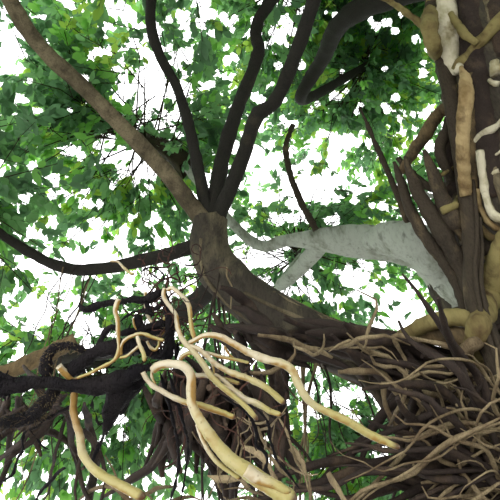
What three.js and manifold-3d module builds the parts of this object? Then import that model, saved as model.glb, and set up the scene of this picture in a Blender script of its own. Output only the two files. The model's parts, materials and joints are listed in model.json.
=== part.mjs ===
// A banyan tree in millimetres, +Z up, with its origin at the centre of the trunk's flat cut at ground level.
// Six limbs leave a fluted trunk, boughs carry them on into seventeen masses of foliage, and aerial roots
// stand against the trunk or hang from the limbs. One old root ends in a tuft of fresh pale ones.
import * as THREE from "three";
import { mergeVertices } from "three/addons/utils/BufferGeometryUtils.js";
import Module from "manifold-3d";

const wasm = await Module();
wasm.setup();
const { Manifold } = wasm;

// Driving sizes
const GAP = 0.3;
const TRUNK = { height: 2820, waist: 640, foot: 1060, flare: 7.5, shoulder: 0.86, sides: 28, steps: 7 };
// depthAloft is the share of the lobes' depth that is left above the flare.
const TRUNK_LOBES = { count: 7, depth: 0.17, depthAloft: 0.3 };
const LOW_RING = { count: 8, radius: 4850, height: 4600, reach: [2150, 2150, 1550], from: 180, twigs: 7 };
const MID_RING = { count: 6, radius: 3000, height: 6600, reach: [2050, 2050, 1500], from: 225, twigs: 7 };
const TOP_RING = { count: 3, radius: 1000, height: 8600, reach: [1950, 1950, 1400], from: 200, twigs: 5 };
const BOUGH_ENTRY = 0.7; // where a bough ends, as a share of the way from a mass's middle to its edge
const LEAF = { length: 1350, width: 820, widest: 0.52, thickness: 16, sunk: 16, shortest: 700, roll: 2.4 };
const LEAVES_ALONG_TWIG = [1, 0.72, 0.46];
const LEAF_TRIES = 6;
const LEAF_SIDEWAYS = 62; // degrees that a leaf part way along a twig turns from it
const TWIG = { base: 20, tip: 13, stem: 30, longest: 0.78, shortest: 0.3, room: 0.16, step: 0.04 };
const CELL_MARGIN = 12;

// Evenly bent main limbs: name, start in the trunk, heading (azimuth, rise) over each half, length, radii
const BENT_LIMBS = [
  ["limb_front", [0, -100, 2350], [[265, 58], [265, 68]], 2780, [350, 235]],
  ["limb_right", [150, 0, 2350], [[-8, 32], [-4, 42]], 2320, [260, 160]],
  ["limb_back_right", [120, 150, 2350], [[58, 40], [55, 50]], 2320, [250, 160]],
  ["limb_front_right", [120, -150, 2350], [[-48, 30], [-50, 40]], 2220, [240, 150]],
];
// Winding main limbs: name, the points that each passes from the trunk on, radii
const WINDING_LIMBS = [
  [
    "limb_left",
    [
      [-100, 0, 2440],
      [-650, 30, 2740],
      [-1090, 80, 3030],
      [-1405, 80, 3300],
      [-1575, 40, 3540],
      [-1600, -25, 3800],
    ],
    [185, 135, 118, 128, 118],
  ],
  ["limb_back_left", [[80, 200, 2350], [190, 560, 3300], [130, 690, 3990]], [255, 170, 150]],
];

// Boughs: name, the limb each leaves and how far along it, the mass it carries, its route and its radii. A
// route is the first heading of an even bend, or the points that a winding bough passes.
const BOUGHS = [
  [
    "bough_left", "limb_left", 0.93, "crown_low_1",
    [[-1965, 115, 3605], [-2480, 265, 3665], [-2900, 230, 3860]],
    [46, 38, 34, 30],
  ],
  [
    "bough_front_left", "limb_left", 0.97, "crown_low_2",
    [[-1915, -285, 4035], [-2300, -680, 4190], [-2610, -1110, 4240]],
    [58, 48, 42, 36],
  ],
  [
    "bough_front", "limb_left", 0.95, "crown_low_3",
    [[-1410, -300, 4020], [-1315, -575, 4090], [-1085, -930, 4210]],
    [50, 40, 38, 36],
  ],
  [
    "bough_back_left", "limb_left", 0.8, "crown_low_8",
    [[-1996, 606, 3365], [-2356, 953, 3523], [-3058, 1464, 3804]],
    [58, 50, 46, 42],
  ],
  [
    "bough_over_left", "limb_left", 0.98, "crown_mid_1",
    [[-1730, -330, 4275], [-1830, -550, 4540], [-1995, -930, 4750]],
    [42, 34, 32],
  ],
  [
    "bough_over_right", "limb_left", 0.96, "crown_mid_2",
    [[-1535, -205, 4230], [-1440, -405, 4545], [-1290, -635, 4950], [-1185, -900, 5325]],
    [56, 46, 42, 38],
  ],
  [
    "bough_pale", "limb_back_left", 0.93, "crown_mid_6",
    [[60, 650, 4160], [-130, 685, 4370], [-570, 815, 4590], [-985, 975, 4780], [-1350, 1110, 4930]],
    [150, 148, 142, 60, 48, 44, 40],
  ],
  [
    "bough_pale_fork", "bough_pale", 0.4, "crown_mid_5",
    [[-870, 1305, 4755], [-1030, 1790, 4990]],
    [85, 70, 50, 40],
  ],
  [
    "bough_back_top", "limb_front", 0.9, "crown_top_3",
    [[-600, -800, 5305], [-690, -250, 5885], [-775, 370, 6400]],
    [85, 75, 58, 45],
  ],
  ["bough_front_top", "limb_front", 0.96, "crown_top_1", [190, 72], [135, 60]],
  ["bough_front_mid", "limb_front", 0.94, "crown_mid_3", [355, 22], [115, 55]],
  ["bough_right", "limb_right", 0.94, "crown_low_5", [-5, 14], [100, 52]],
  ["bough_right_mid", "limb_right", 0.92, "crown_mid_4", [60, 55], [92, 50]],
  ["bough_back_right", "limb_back_right", 0.94, "crown_low_6", [45, 8], [100, 52]],
  ["bough_back", "limb_back_right", 0.92, "crown_low_7", [115, 4], [95, 50]],
  ["bough_front_right", "limb_front_right", 0.94, "crown_low_4", [-46, 14], [95, 52]],
  ["bough_right_top", "limb_front_right", 0.91, "crown_top_2", [-75, 78], [92, 50]],
].map(([name, parent, share, mass, route, radii]) => {
  return { name, parent, share, mass, route, radii };
});

// Aerial roots that reach the ground: the radii, then azimuth, distance from the trunk's middle and height
// at each point from the top down
const STANDING_ROOTS = [
  {
    radii: [40, 38, 44, 60],
    way: [
      [258.7, 1225, 4500],
      [251.6, 1222, 4200],
      [248, 1025, 3750],
      [242.5, 834, 3350],
      [234.4, 738, 2950],
      [226.6, 757, 2500],
      [228, 750, 1300],
      [228, 1180, 0],
    ],
  },
  { radii: [36, 58], way: [[277, 1130, 4200], [280, 1240, 3500], [268, 900, 1500], [262, 1180, 0]] },
  { radii: [18, 28, 50], way: [[176, 930, 2900], [192, 800, 2350], [203, 760, 1300], [206, 1130, 0]] },
  { radii: [40, 60], way: [[352, 1350, 3120], [340, 1050, 2100], [332, 860, 1150], [328, 1120, 0]] },
  { radii: [40, 60], way: [[61, 1080, 3120], [82, 980, 2300], [96, 850, 1200], [105, 1120, 0]] },
];

// Tassels of hanging roots: the limb each hangs from, how far along it, and the whole drop
const TASSELS = [
  ["limb_left", 0.5, 1350],
  ["limb_left", 0.84, 1500],
  ["bough_left", 0.45, 1700],
  ["limb_right", 0.72, 1400],
  ["limb_back_right", 0.7, 1500],
  ["limb_front_right", 0.72, 1350],
];
const TASSEL = { stem: 17, strand: 9, strands: 3, split: 0.34, spread: 190 };

// The old root that hangs from a bough and turns sideways into the tuft of fresh roots
const OLD_ROOT = {
  from: ["bough_over_left", 0.93],
  way: [
    [-2080, -1640, 4000],
    [-2115, -1690, 2420],
    [-2110, -1685, 1960],
    [-1960, -1650, 1690],
    [-1567, -1600, 1632],
  ],
  split: 0.74,
  radii: [15, 13, 11],
};

// The tuft lies in a tilted plane: x to the right, y up the plane and z towards a viewer below it. Each
// root has its radii, then its points.
const TUFT = { origin: [-1350, -1675, 1700], tilt: 48 };
const KNOTS = [
  [[10.5, 8, 5.5, 12, 6], [[-217, -101, 0], [-143, -92, 0], [-115, -93, 0], [-90, -87, 0], [-68, -81, 0]]],
  [[4, 3.6, 3.6], [[-146, -87, -5], [-138, -67, -9], [-116, -68, -10], [-100, -74, -9]]],
  [[6, 7, 7, 6, 5], [[-132, -87, -6], [-106, -68, -12], [-76, -57, -16], [-63, -42, -19], [-56, -27, -20]]],
  [[3.6, 4, 3.6], [[-119, -41, -16], [-99, -37, -18], [-75, -34, -19], [-60, -38, -20]]],
];
const FRESH_ROOTS = {
  fresh_roots_left: [
    [[2.4, 3], [[-134, -81, -2], [-124, -92, -13], [-123, -112, -10], [-114, -141, 0], [-73, -174, 15]]],
  ],
  fresh_roots_centre: [
    [
      [3, 4.3, 5.4, 6.4],
      [[-72, -84, 4], [-59, -80, 8], [-46, -83, 13], [-41, -108, 18], [-13, -148, 28], [31, -176, 40]],
    ],
    [[1.8, 2], [[-36, -122, 21], [-33, -138, 29], [-22, -150, 31], [-4, -160, 31]]],
    [[2.4, 2.9], [[-70, -85, 5], [-61, -99, 3], [-38, -108, 4], [-10, -118, 8]]],
  ],
  fresh_roots_right: [
    [[1.9, 2.2, 1.6, 2.3], [[-60, -29, -16], [-52, -48, -13], [-48, -64, -10], [-22, -95, -2], [5, -118, 6]]],
    [[1.8, 2.1], [[-58, -29, -16], [-50, -29, -10], [-43, -41, -6], [-38, -66, -8]]],
    [
      [2, 2.9, 3.3],
      [[-45, -66, -9], [-28, -59, 0], [0, -74, 6], [29, -84, 5], [42, -106, 2], [105, -139, 8]],
    ],
    [[2, 2.5], [[-40, -65, -9], [-22, -80, -7], [3, -92, -4], [24, -108, 0]]],
    [[1.6, 2.2], [[-23, -94, -3], [-3, -105, -2], [22, -116, 2]]],
    [[1.5, 1.7], [[-74, -31, -21], [-68, -50, -19], [-63, -57, -18], [-57, -42, -17], [-56, -34, -17]]],
  ],
  fresh_roots_top: [
    [[2.2, 1.6, 1.8], [[-92, -35, -6], [-92, -50, -5], [-91, -71, -4], [-101, -81, -4]]],
    [[1.7, 1.7], [[-91, -72, -4], [-86, -61, -3], [-73, -59, -2], [-57, -66, -6]]],
    [[1.7, 1.8], [[-79, -61, -3], [-76, -68, -1], [-73, -79, 9]]],
  ],
};

const COLOURS = {
  bark: new THREE.MeshStandardMaterial({ color: 0x6d6152, roughness: 0.9, metalness: 0 }),
  root: new THREE.MeshStandardMaterial({ color: 0x7a5f49, roughness: 0.85, metalness: 0 }),
  old: new THREE.MeshStandardMaterial({ color: 0x2b2523, roughness: 0.9, metalness: 0 }),
  fresh: new THREE.MeshStandardMaterial({ color: 0xd9c79a, roughness: 0.55, metalness: 0 }),
  leaf: new THREE.MeshStandardMaterial({ color: 0x2f6b26, roughness: 0.5, metalness: 0 }),
};

const RIGHT = new THREE.Vector3(1, 0, 0);
const UP = new THREE.Vector3(0, 0, 1);
const vector = (point) => new THREE.Vector3(...point);
const radians = THREE.MathUtils.degToRad;

// A unit vector at an azimuth from +X towards +Y and a rise above level, in degrees.
function heading(azimuth, rise) {
  const level = Math.cos(radians(rise));
  const turn = radians(azimuth);
  return new THREE.Vector3(level * Math.cos(turn), level * Math.sin(turn), Math.sin(radians(rise)));
}

// A repeatable number from 0 to 1 for the index-th choice of a seed.
function chance(seed, index) {
  const wave = Math.sin(seed * 78.233 + index * 12.9898) * 43758.5453;
  return wave - Math.floor(wave);
}

// The value at share of evenly spaced stops.
function along(stops, share) {
  const place = Math.min(Math.max(share, 0), 1) * (stops.length - 1);
  const low = Math.min(Math.floor(place), stops.length - 2);
  return THREE.MathUtils.lerp(stops[low], stops[low + 1], place - low);
}

// A geometry with only its places left, and shared vertices merged, so that it can be a solid.
function bare(geometry) {
  geometry.deleteAttribute("normal");
  geometry.deleteAttribute("uv");
  return mergeVertices(geometry, 1e-5);
}

function toSolid(geometry) {
  return new Manifold(
    new wasm.Mesh({
      numProp: 3,
      vertProperties: new Float32Array(geometry.attributes.position.array),
      triVerts: new Uint32Array(geometry.index.array),
    }),
  );
}

function toGeometry(solid) {
  const mesh = solid.getMesh();
  const points = new Float32Array(mesh.numVert * 3);
  for (let i = 0; i < mesh.numVert; i += 1)
    points.set(mesh.vertProperties.subarray(i * mesh.numProp, i * mesh.numProp + 3), i * 3);
  const geometry = new THREE.BufferGeometry();
  geometry.setAttribute("position", new THREE.BufferAttribute(points, 3));
  geometry.setIndex(new THREE.BufferAttribute(mesh.triVerts, 1));
  geometry.computeVertexNormals();
  return geometry;
}

const joined = (solids) => solids.reduce((whole, solid) => whole.add(solid));

// The largest closed body of a solid, so that scraps and sealed hollows go.
const largest = (solid) => solid.decompose().reduce((a, b) => (b.volume() > a.volume() ? b : a));

// A closed tube bent along a curve. radiusAt takes the share along it and the angle round it, and extra
// grows the tube all over, ends too.
function tube(curve, radiusAt, sides, steps, extra = 0) {
  const merged = bare(new THREE.CylinderGeometry(1, 1, 1, sides, steps));
  const frames = curve.computeFrenetFrames(steps, false);
  const places = curve.getSpacedPoints(steps);
  const position = merged.attributes.position;
  for (let i = 0; i < position.count; i += 1) {
    const [x, y, z] = [position.getX(i), position.getY(i), position.getZ(i)];
    const ring = Math.round((y + 0.5) * steps);
    const round = Math.hypot(x, z);
    const radius = round > 0.5 ? radiusAt(ring / steps, Math.atan2(x, z)) + extra : 0;
    const end = ring === 0 ? -extra : ring === steps ? extra : 0;
    const point = places[ring].clone().addScaledVector(frames.tangents[ring], end);
    if (radius > 0) {
      point.addScaledVector(frames.binormals[ring], (x / round) * radius);
      point.addScaledVector(frames.normals[ring], (z / round) * radius);
    }
    position.setXYZ(i, point.x, point.y, point.z);
  }
  return toSolid(merged);
}

// The stretch of a curve between two shares of its length.
class Stretch extends THREE.Curve {
  constructor(curve, from, to) {
    super();
    Object.assign(this, { curve, from, to });
  }

  getPoint(share) {
    return this.curve.getPointAt(this.from + (this.to - this.from) * share);
  }
}

const evenly = (radii) => (share) => along(radii, share);
const isWinding = (route) => Array.isArray(route[0]);

// A curve that winds through points.
const winding = (points) => new THREE.CatmullRomCurve3(points, false, "catmullrom", 0.5);

// A limb of two straight headings, bent smoothly.
function limbCurve(start, headings, length) {
  const first = vector(start);
  const bend = first.clone().addScaledVector(heading(...headings[0]), length / 2);
  const last = bend.clone().addScaledVector(heading(...headings[1]), length / 2);
  return new THREE.QuadraticBezierCurve3(first, bend, last);
}

// The trunk's radius: a flared and fluted foot, a waist and a rounded top.
function trunkRadius(share, angle) {
  const flare = Math.exp(-share * TRUNK.flare);
  const over = Math.max(0, share - TRUNK.shoulder) / (1 - TRUNK.shoulder);
  const dome = Math.sqrt(Math.max(0.12, 1 - over ** 2));
  const body = THREE.MathUtils.lerp(TRUNK.waist, TRUNK.foot, flare);
  const lobe = Math.sin(angle * TRUNK_LOBES.count) + 0.6 * Math.sin(angle * (TRUNK_LOBES.count - 3) + 1.3);
  const depth = TRUNK_LOBES.depth * THREE.MathUtils.lerp(TRUNK_LOBES.depthAloft, 1, flare);
  return body * dome * (1 + lobe * depth);
}

// Foliage masses on three rings, each with its middle and its reach along X, Y and Z.
function ringOfMasses(prefix, { count, radius, height, reach, from, twigs }) {
  return Array.from({ length: count }, (_, i) => {
    const azimuth = radians(from + (360 * i) / count);
    const out = radius * (1 + 0.06 * (chance(3, i) - 0.5));
    const up = height + 320 * (chance(5, i) - 0.5);
    const middle = new THREE.Vector3(out * Math.cos(azimuth), out * Math.sin(azimuth), up);
    return { name: `${prefix}_${i + 1}`, middle, reach: vector(reach), twigs };
  });
}

const masses = [
  ...ringOfMasses("crown_low", LOW_RING),
  ...ringOfMasses("crown_mid", MID_RING),
  ...ringOfMasses("crown_top", TOP_RING),
];

// Whether a point lies in a mass's own space: inside its reach, and on its side of every neighbour.
function inCell(mass, point) {
  const out = point.clone().sub(mass.middle);
  if (out.clone().divide(mass.reach).length() > 1) return false;
  return masses.every((other) => {
    if (other === mass) return true;
    const across = other.middle.clone().sub(mass.middle);
    return out.dot(across) / across.length() < across.length() / 2 - CELL_MARGIN;
  });
}

// A bough from its limb to where it enters its mass.
function boughCurve({ route, mass }, start) {
  const { middle, reach } = masses.find((m) => m.name === mass);
  const back = start.clone().sub(middle);
  const entry = middle.clone().addScaledVector(back, BOUGH_ENTRY / back.clone().divide(reach).length());
  if (isWinding(route)) return winding([start, ...route.map(vector), entry]);
  const bend = start.clone().addScaledVector(heading(...route), start.distanceTo(entry) / 2);
  return new THREE.QuadraticBezierCurve3(start, bend, entry);
}

const group = new THREE.Group();
const placed = [];

function boxesMeet(a, b) {
  const [p, q] = [a.boundingBox(), b.boundingBox()];
  return [0, 1, 2].every((k) => p.min[k] < q.max[k] && q.min[k] < p.max[k]);
}

// Cuts a new piece clear of what is already placed and adds it to the tree. make takes the extra growth.
function place(name, material, make) {
  const near = placed.filter((other) => boxesMeet(make(0), other.grown));
  const solid = largest(near.reduce((left, other) => left.subtract(other.grown), make(0)));
  placed.push({ name, grown: make(GAP) });
  const mesh = new THREE.Mesh(toGeometry(solid), COLOURS[material]);
  mesh.name = name;
  group.add(mesh);
}

// Trunk
const trunkAxis = new THREE.LineCurve3(new THREE.Vector3(0, 0, 0), new THREE.Vector3(0, 0, TRUNK.height));
place("trunk", "bark", (extra) => tube(trunkAxis, trunkRadius, TRUNK.sides, TRUNK.steps, extra));

// Limbs and boughs
const curves = {};
for (const [name, start, headings, length, radii] of BENT_LIMBS) {
  curves[name] = limbCurve(start, headings, length);
  place(name, "bark", (extra) => tube(curves[name], evenly(radii), 10, 5, extra));
}
for (const [name, points, radii] of WINDING_LIMBS) {
  curves[name] = winding(points.map(vector));
  place(name, "bark", (extra) => tube(curves[name], evenly(radii), 10, 8, extra));
}
for (const bough of BOUGHS) {
  curves[bough.name] = boughCurve(bough, curves[bough.parent].getPointAt(bough.share));
  const steps = isWinding(bough.route) ? 6 : 4;
  place(bough.name, "bark", (extra) => tube(curves[bough.name], evenly(bough.radii), 6, steps, extra));
}

// Aerial roots that reach the ground, cut flat there
const aboveGround = toSolid(bare(new THREE.BoxGeometry(9000, 9000, 9000).translate(0, 0, 4500)));
STANDING_ROOTS.forEach(({ radii, way }, i) => {
  const points = way.map(([azimuth, out, height]) => heading(azimuth, 0).multiplyScalar(out).setZ(height));
  const foot = points.pop();
  const curve = new THREE.CatmullRomCurve3([...points, foot.clone().setZ(180), foot]);
  const make = (extra) => tube(curve, evenly(radii), 6, 7, extra).intersect(aboveGround);
  place(`standing_root_${i + 1}`, "root", make);
});

// A tassel: one root drops from its limb and splits into several that sway and hang on.
function tassel(limb, share, drop, seed, extra) {
  const top = curves[limb].getPointAt(share);
  const fork = top.clone().add(new THREE.Vector3(20, -15, -drop * TASSEL.split));
  const stemRadii = [TASSEL.stem, TASSEL.strand * 1.5];
  const stem = tube(new THREE.LineCurve3(top, fork), evenly(stemRadii), 4, 1, extra);
  const strands = Array.from({ length: TASSEL.strands }, (_, i) => {
    const out = heading((360 * i) / TASSEL.strands + 60 * chance(seed, i), 0);
    const length = drop * (1 - TASSEL.split) * (0.55 + 0.45 * chance(seed + 1, i));
    const start = fork.clone().add(new THREE.Vector3(0, 0, 40));
    const bend = start.clone().addScaledVector(out, TASSEL.spread).addScaledVector(UP, -length * 0.35);
    const tip = start.clone().addScaledVector(out, TASSEL.spread * 0.8).addScaledVector(UP, -length);
    const curve = new THREE.QuadraticBezierCurve3(start, bend, tip);
    return tube(curve, evenly([TASSEL.strand, TASSEL.strand * 0.45]), 3, 3, extra);
  });
  return joined([stem, ...strands]);
}
TASSELS.forEach(([limb, share, drop], i) =>
  place(`hanging_roots_${i + 1}`, "root", (extra) => tassel(limb, share, drop, 20 + i, extra)),
);

// The old root and the tuft
const oldRoot = new THREE.CatmullRomCurve3([
  curves[OLD_ROOT.from[0]].getPointAt(OLD_ROOT.from[1]),
  ...OLD_ROOT.way.map(vector),
]);
const runOn = OLD_ROOT.split + GAP / oldRoot.getLength();
place("old_root_hanging", "old", (extra) =>
  tube(new Stretch(oldRoot, 0, OLD_ROOT.split), evenly(OLD_ROOT.radii.slice(0, 2)), 6, 5, extra),
);
place("old_root_turn", "old", (extra) =>
  tube(new Stretch(oldRoot, runOn, 1), evenly(OLD_ROOT.radii.slice(1)), 6, 7, extra),
);

// The tuft's plane: up it, and out of it, back down to a viewer under the tree
const tuftUp = new THREE.Vector3(0, -Math.sin(radians(TUFT.tilt)), Math.cos(radians(TUFT.tilt)));
const tuftOut = new THREE.Vector3(0, -Math.cos(radians(TUFT.tilt)), -Math.sin(radians(TUFT.tilt)));

function tuftRoot([radii, way], sides, extra) {
  const points = way.map(([x, y, z]) =>
    vector(TUFT.origin).addScaledVector(RIGHT, x).addScaledVector(tuftUp, y).addScaledVector(tuftOut, z),
  );
  const curve = new THREE.CatmullRomCurve3(points);
  return tube(curve, evenly(radii), sides, way.length, extra);
}
place("old_root_knot", "old", (extra) => joined(KNOTS.map((knot) => tuftRoot(knot, 5, extra))));
for (const [name, roots] of Object.entries(FRESH_ROOTS))
  place(name, "fresh", (extra) => joined(roots.map((root) => tuftRoot(root, 4, extra))));

// A blade of eight faces that stands for a spray of leaves: outline of four points, thickest in the middle.
function blade(root, direction, facing, length) {
  const side = new THREE.Vector3().crossVectors(direction, facing).normalize();
  const face = new THREE.Vector3().crossVectors(side, direction).normalize();
  const at = (ahead, across, out) =>
    root.clone().addScaledVector(direction, ahead).addScaledVector(side, across).addScaledVector(face, out);
  const half = (LEAF.width / LEAF.length) * (length / 2);
  const points = [
    at(-LEAF.sunk, 0, 0),
    at(length * LEAF.widest, half, 0),
    at(length, 0, 0),
    at(length * LEAF.widest, -half, 0),
    at(length * LEAF.widest, 0, LEAF.thickness / 2),
    at(length * LEAF.widest, 0, -LEAF.thickness / 2),
  ];
  const geometry = new THREE.BufferGeometry().setFromPoints(points);
  geometry.setIndex([0, 1, 4, 1, 2, 4, 2, 3, 4, 3, 0, 4, 1, 0, 5, 2, 1, 5, 3, 2, 5, 0, 3, 5]);
  const solid = toSolid(geometry);
  return { points, solid };
}

// A direction of an even spread over a sphere.
function evenDirection(index, count) {
  const height = 1 - (2 * index + 1) / count;
  const level = Math.sqrt(1 - height * height);
  const turn = index * Math.PI * (3 - Math.sqrt(5));
  return new THREE.Vector3(level * Math.cos(turn), level * Math.sin(turn), height);
}

const meets = (solid, other) => boxesMeet(solid, other) && !solid.intersect(other).isEmpty();
const touchesLimb = (solid) => placed.some(({ grown }) => meets(solid, grown));

// A leaf at a place on a twig, turned and sized until it fits its mass clear of the leaves there, or nothing.
function fitLeaf(mass, root, run, outward, others, seed) {
  for (let attempt = 0; attempt < LEAF_TRIES; attempt += 1) {
    const [turn, droop, roll] = [0, 1, 2].map((k) => chance(seed + k, attempt) - 0.5);
    const direction = run.clone().applyAxisAngle(UP, outward + turn * 0.7);
    direction.z = THREE.MathUtils.clamp(direction.z - 0.2 + 0.6 * droop, -0.75, 0.75);
    direction.normalize();
    const facing = UP.clone().applyAxisAngle(direction, roll * LEAF.roll);
    const length = THREE.MathUtils.lerp(LEAF.length, LEAF.shortest, attempt / LEAF_TRIES);
    const leaf = blade(root, direction, facing, length);
    const clear = leaf.points.slice(1).every((point) => inCell(mass, point)) && !touchesLimb(leaf.solid);
    if (clear && !others.some((other) => meets(leaf.solid, other))) return leaf.solid;
  }
  return null;
}

// The stem of a mass runs on from its bough's tip to a little past the middle.
function stemCurve(mass, bough) {
  const ahead = curves[bough.name].getTangentAt(1);
  const foot = curves[bough.name].getPointAt(1).addScaledVector(ahead, GAP);
  const heart = mass.middle.clone().lerp(foot, -0.12);
  const bend = foot.clone().addScaledVector(ahead, foot.distanceTo(heart) / 3);
  return new THREE.QuadraticBezierCurve3(foot, bend, heart);
}

// The furthest point of a mass along one direction from its middle, drawn in to leave room for a leaf.
function twigEnd(mass, aim) {
  const out = (reach) => aim.clone().multiply(mass.reach).multiplyScalar(reach).add(mass.middle);
  let reach = TWIG.longest;
  while (reach > TWIG.shortest && !inCell(mass, out(reach + TWIG.room))) reach -= TWIG.step;
  return out(reach);
}

// One mass: a stem from its bough's tip, twigs from the stem towards the edge, and leaves on the twigs.
function foliage(mass, seed) {
  const bough = BOUGHS.find((b) => b.mass === mass.name);
  const curve = stemCurve(mass, bough);
  const stem = tube(curve, evenly([Math.min(TWIG.stem, bough.radii[1] * 0.9), TWIG.base]), 3, 2);
  const twigs = Array.from({ length: mass.twigs }, (_, i) => {
    const start = curve.getPointAt(0.45 + 0.5 * chance(seed, i));
    const end = twigEnd(mass, evenDirection(i, mass.twigs));
    const solid = tube(new THREE.LineCurve3(start, end), evenly([TWIG.base, TWIG.tip]), 3, 1);
    return { start, end, solid };
  }).filter(({ solid }) => !touchesLimb(solid));
  const leaves = [];
  twigs.forEach((twig, i) => {
    const run = twig.end.clone().sub(twig.start).normalize();
    const otherWood = [stem, ...twigs.filter((other) => other !== twig).map(({ solid }) => solid)];
    LEAVES_ALONG_TWIG.forEach((share, k) => {
      const outward = k === 0 ? 0 : radians(k % 2 ? LEAF_SIDEWAYS : -LEAF_SIDEWAYS);
      const root = twig.start.clone().lerp(twig.end, share);
      const leaf = fitLeaf(mass, root, run, outward, [...leaves, ...otherWood], seed * 31 + i * 7 + k);
      if (leaf) leaves.push(leaf);
    });
  });
  return joined([stem, ...twigs.map(({ solid }) => solid), ...leaves]);
}

// The masses keep to their own spaces, so none is cut by another.
masses.forEach((mass, i) => {
  const mesh = new THREE.Mesh(toGeometry(largest(foliage(mass, 40 + i))), COLOURS.leaf);
  mesh.name = mass.name;
  group.add(mesh);
});

export default group;
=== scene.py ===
"""Dresses a banyan tree: bark, grown-together roots, foliage, hanging roots and a tuft of fresh rootlets."""

import json
import logging
import math
import sys
from dataclasses import dataclass, field
from enum import Enum
from functools import cache
from typing import Callable, Iterable, Sequence

import bmesh
import bpy
import numpy as np
from bmesh.types import BMEdge, BMesh, BMVert
from bpy.types import ID, Material, Mesh, Node, NodeSocket, Object
from mathutils import Matrix, Quaternion, Vector, noise
from mathutils.bvhtree import BVHTree
from mathutils.kdtree import KDTree
from numpy.random import Generator, default_rng

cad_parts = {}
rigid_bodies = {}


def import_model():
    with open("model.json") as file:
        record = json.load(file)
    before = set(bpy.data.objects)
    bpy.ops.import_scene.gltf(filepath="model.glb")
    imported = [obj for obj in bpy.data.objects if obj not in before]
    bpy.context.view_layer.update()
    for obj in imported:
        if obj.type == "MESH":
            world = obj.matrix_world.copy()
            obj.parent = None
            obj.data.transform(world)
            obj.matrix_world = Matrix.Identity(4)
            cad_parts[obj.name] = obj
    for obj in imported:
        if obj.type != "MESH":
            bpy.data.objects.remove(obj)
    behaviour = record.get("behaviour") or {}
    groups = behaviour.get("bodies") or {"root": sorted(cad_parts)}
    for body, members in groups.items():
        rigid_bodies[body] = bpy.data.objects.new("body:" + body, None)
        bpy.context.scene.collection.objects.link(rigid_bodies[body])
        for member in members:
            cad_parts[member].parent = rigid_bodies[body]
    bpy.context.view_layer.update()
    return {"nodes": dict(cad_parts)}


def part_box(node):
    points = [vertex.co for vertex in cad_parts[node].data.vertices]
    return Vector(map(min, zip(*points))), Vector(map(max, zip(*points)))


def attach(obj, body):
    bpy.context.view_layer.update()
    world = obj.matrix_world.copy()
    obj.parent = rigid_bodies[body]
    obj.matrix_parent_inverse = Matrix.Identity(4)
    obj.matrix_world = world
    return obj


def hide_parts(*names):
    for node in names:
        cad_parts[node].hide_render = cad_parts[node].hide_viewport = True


log = logging.getLogger("banyan")

# Places, headings or other numbers, one a row
Rows = np.ndarray
Pair = tuple[float, float]
Triple = tuple[float, float, float]
Colour = Triple
Floats = tuple[float, ...]

UP = Vector((0.0, 0.0, 1.0))
# The same direction, to be added to rows
UPWARD = np.array([0.0, 0.0, 1.0])
MM = 0.001
# The least radius of a swept tube and of a strand, in metres
FINEST_TUBE, FINEST_STRAND = 1e-5, 2e-4
# How many swellings a strand has a metre
KNOTS_A_METRE = 60
# Fall-off, step in frequency and number of layers of the noise in the bark's relief
RELIEF_LAYERS = (1.0, 2.0, 3)

# How far the crown reaches across, back and up from the tree's foot, in metres
CROWN_REACH = np.array([6.5, 6.5, 9.6])

FOLIAGE_SEED = 23
ROOT_SEED = 31


# Sight lines


@dataclass(frozen=True)
class Eye:
    """Where the viewer stands under the crown, and how a point of the picture becomes a place."""

    place: Vector = Vector((-1.35, -1.90, 1.45))
    rise: float = math.radians(48)
    picture: float = 500.0
    focal: float = 480.0
    nearest: float = 0.05

    @property
    def ahead(self) -> Vector:
        """The direction of view."""
        return Vector((0.0, math.cos(self.rise), math.sin(self.rise)))

    @property
    def above(self) -> Vector:
        """The direction that is up in the picture."""
        return Vector((0.0, -math.sin(self.rise), math.cos(self.rise)))

    def point(self, across: float, down: float, depth: float) -> Vector:
        """The place seen at a point of the picture.

        Args:
            across: Pixels from the picture's left edge.
            down: Pixels from its top edge.
            depth: Metres ahead of the eye.

        Returns:
            The place, in metres.
        """
        half = self.picture / 2
        right = (across - half) / self.focal * depth
        up = (half - down) / self.focal * depth
        return self.place + Vector((right, 0.0, 0.0)) + self.above * up + self.ahead * depth

    def picture_of(self, places: Rows) -> tuple[Rows, Rows, Rows]:
        """Where places are seen in the picture.

        Args:
            places: An array of places, one a row.

        Returns:
            Pixels across, pixels down and depth ahead of the eye.
        """
        out = places - np.array(self.place)
        depth = out @ np.array(self.ahead)
        safe = np.maximum(depth, self.nearest)
        half = self.picture / 2
        across = half + self.focal * out[:, 0] / safe
        down = half - self.focal * (out @ np.array(self.above)) / safe
        return across, down, depth

    def camera(self) -> None:
        """Makes the camera and gives it to the scene."""
        data = bpy.data.cameras.new("eye")
        data.sensor_width = 36.0
        data.lens = self.focal / self.picture * data.sensor_width
        data.clip_start = 0.01
        data.clip_end = 200.0
        camera = linked("eye", data)
        camera.location = self.place
        camera.rotation_euler = (math.pi / 2 + self.rise, 0.0, 0.0)
        bpy.context.scene.camera = camera


EYE = Eye()


# Paths


def heading(azimuth: float, rise: float) -> Vector:
    """A unit vector at an azimuth from +X towards +Y and a rise above level, in degrees."""
    turn, lift = math.radians(azimuth), math.radians(rise)
    return Vector((math.cos(lift) * math.cos(turn), math.cos(lift) * math.sin(turn), math.sin(lift)))


def chance(seed: float, index: float) -> float:
    """A repeatable number from 0 to 1 for the index-th choice of a seed."""
    seed_step, index_step, height = 78.233, 12.9898, 43758.5453
    wave = math.sin(seed * seed_step + index * index_step) * height
    return wave - math.floor(wave)


def drawn(span: Pair, seed: float, index: float, power: int = 1) -> float:
    """A span's least value plus a repeatable share, to a power, of how much more it may be."""
    least, more = span
    return least + more * chance(seed, index) ** power


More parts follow.
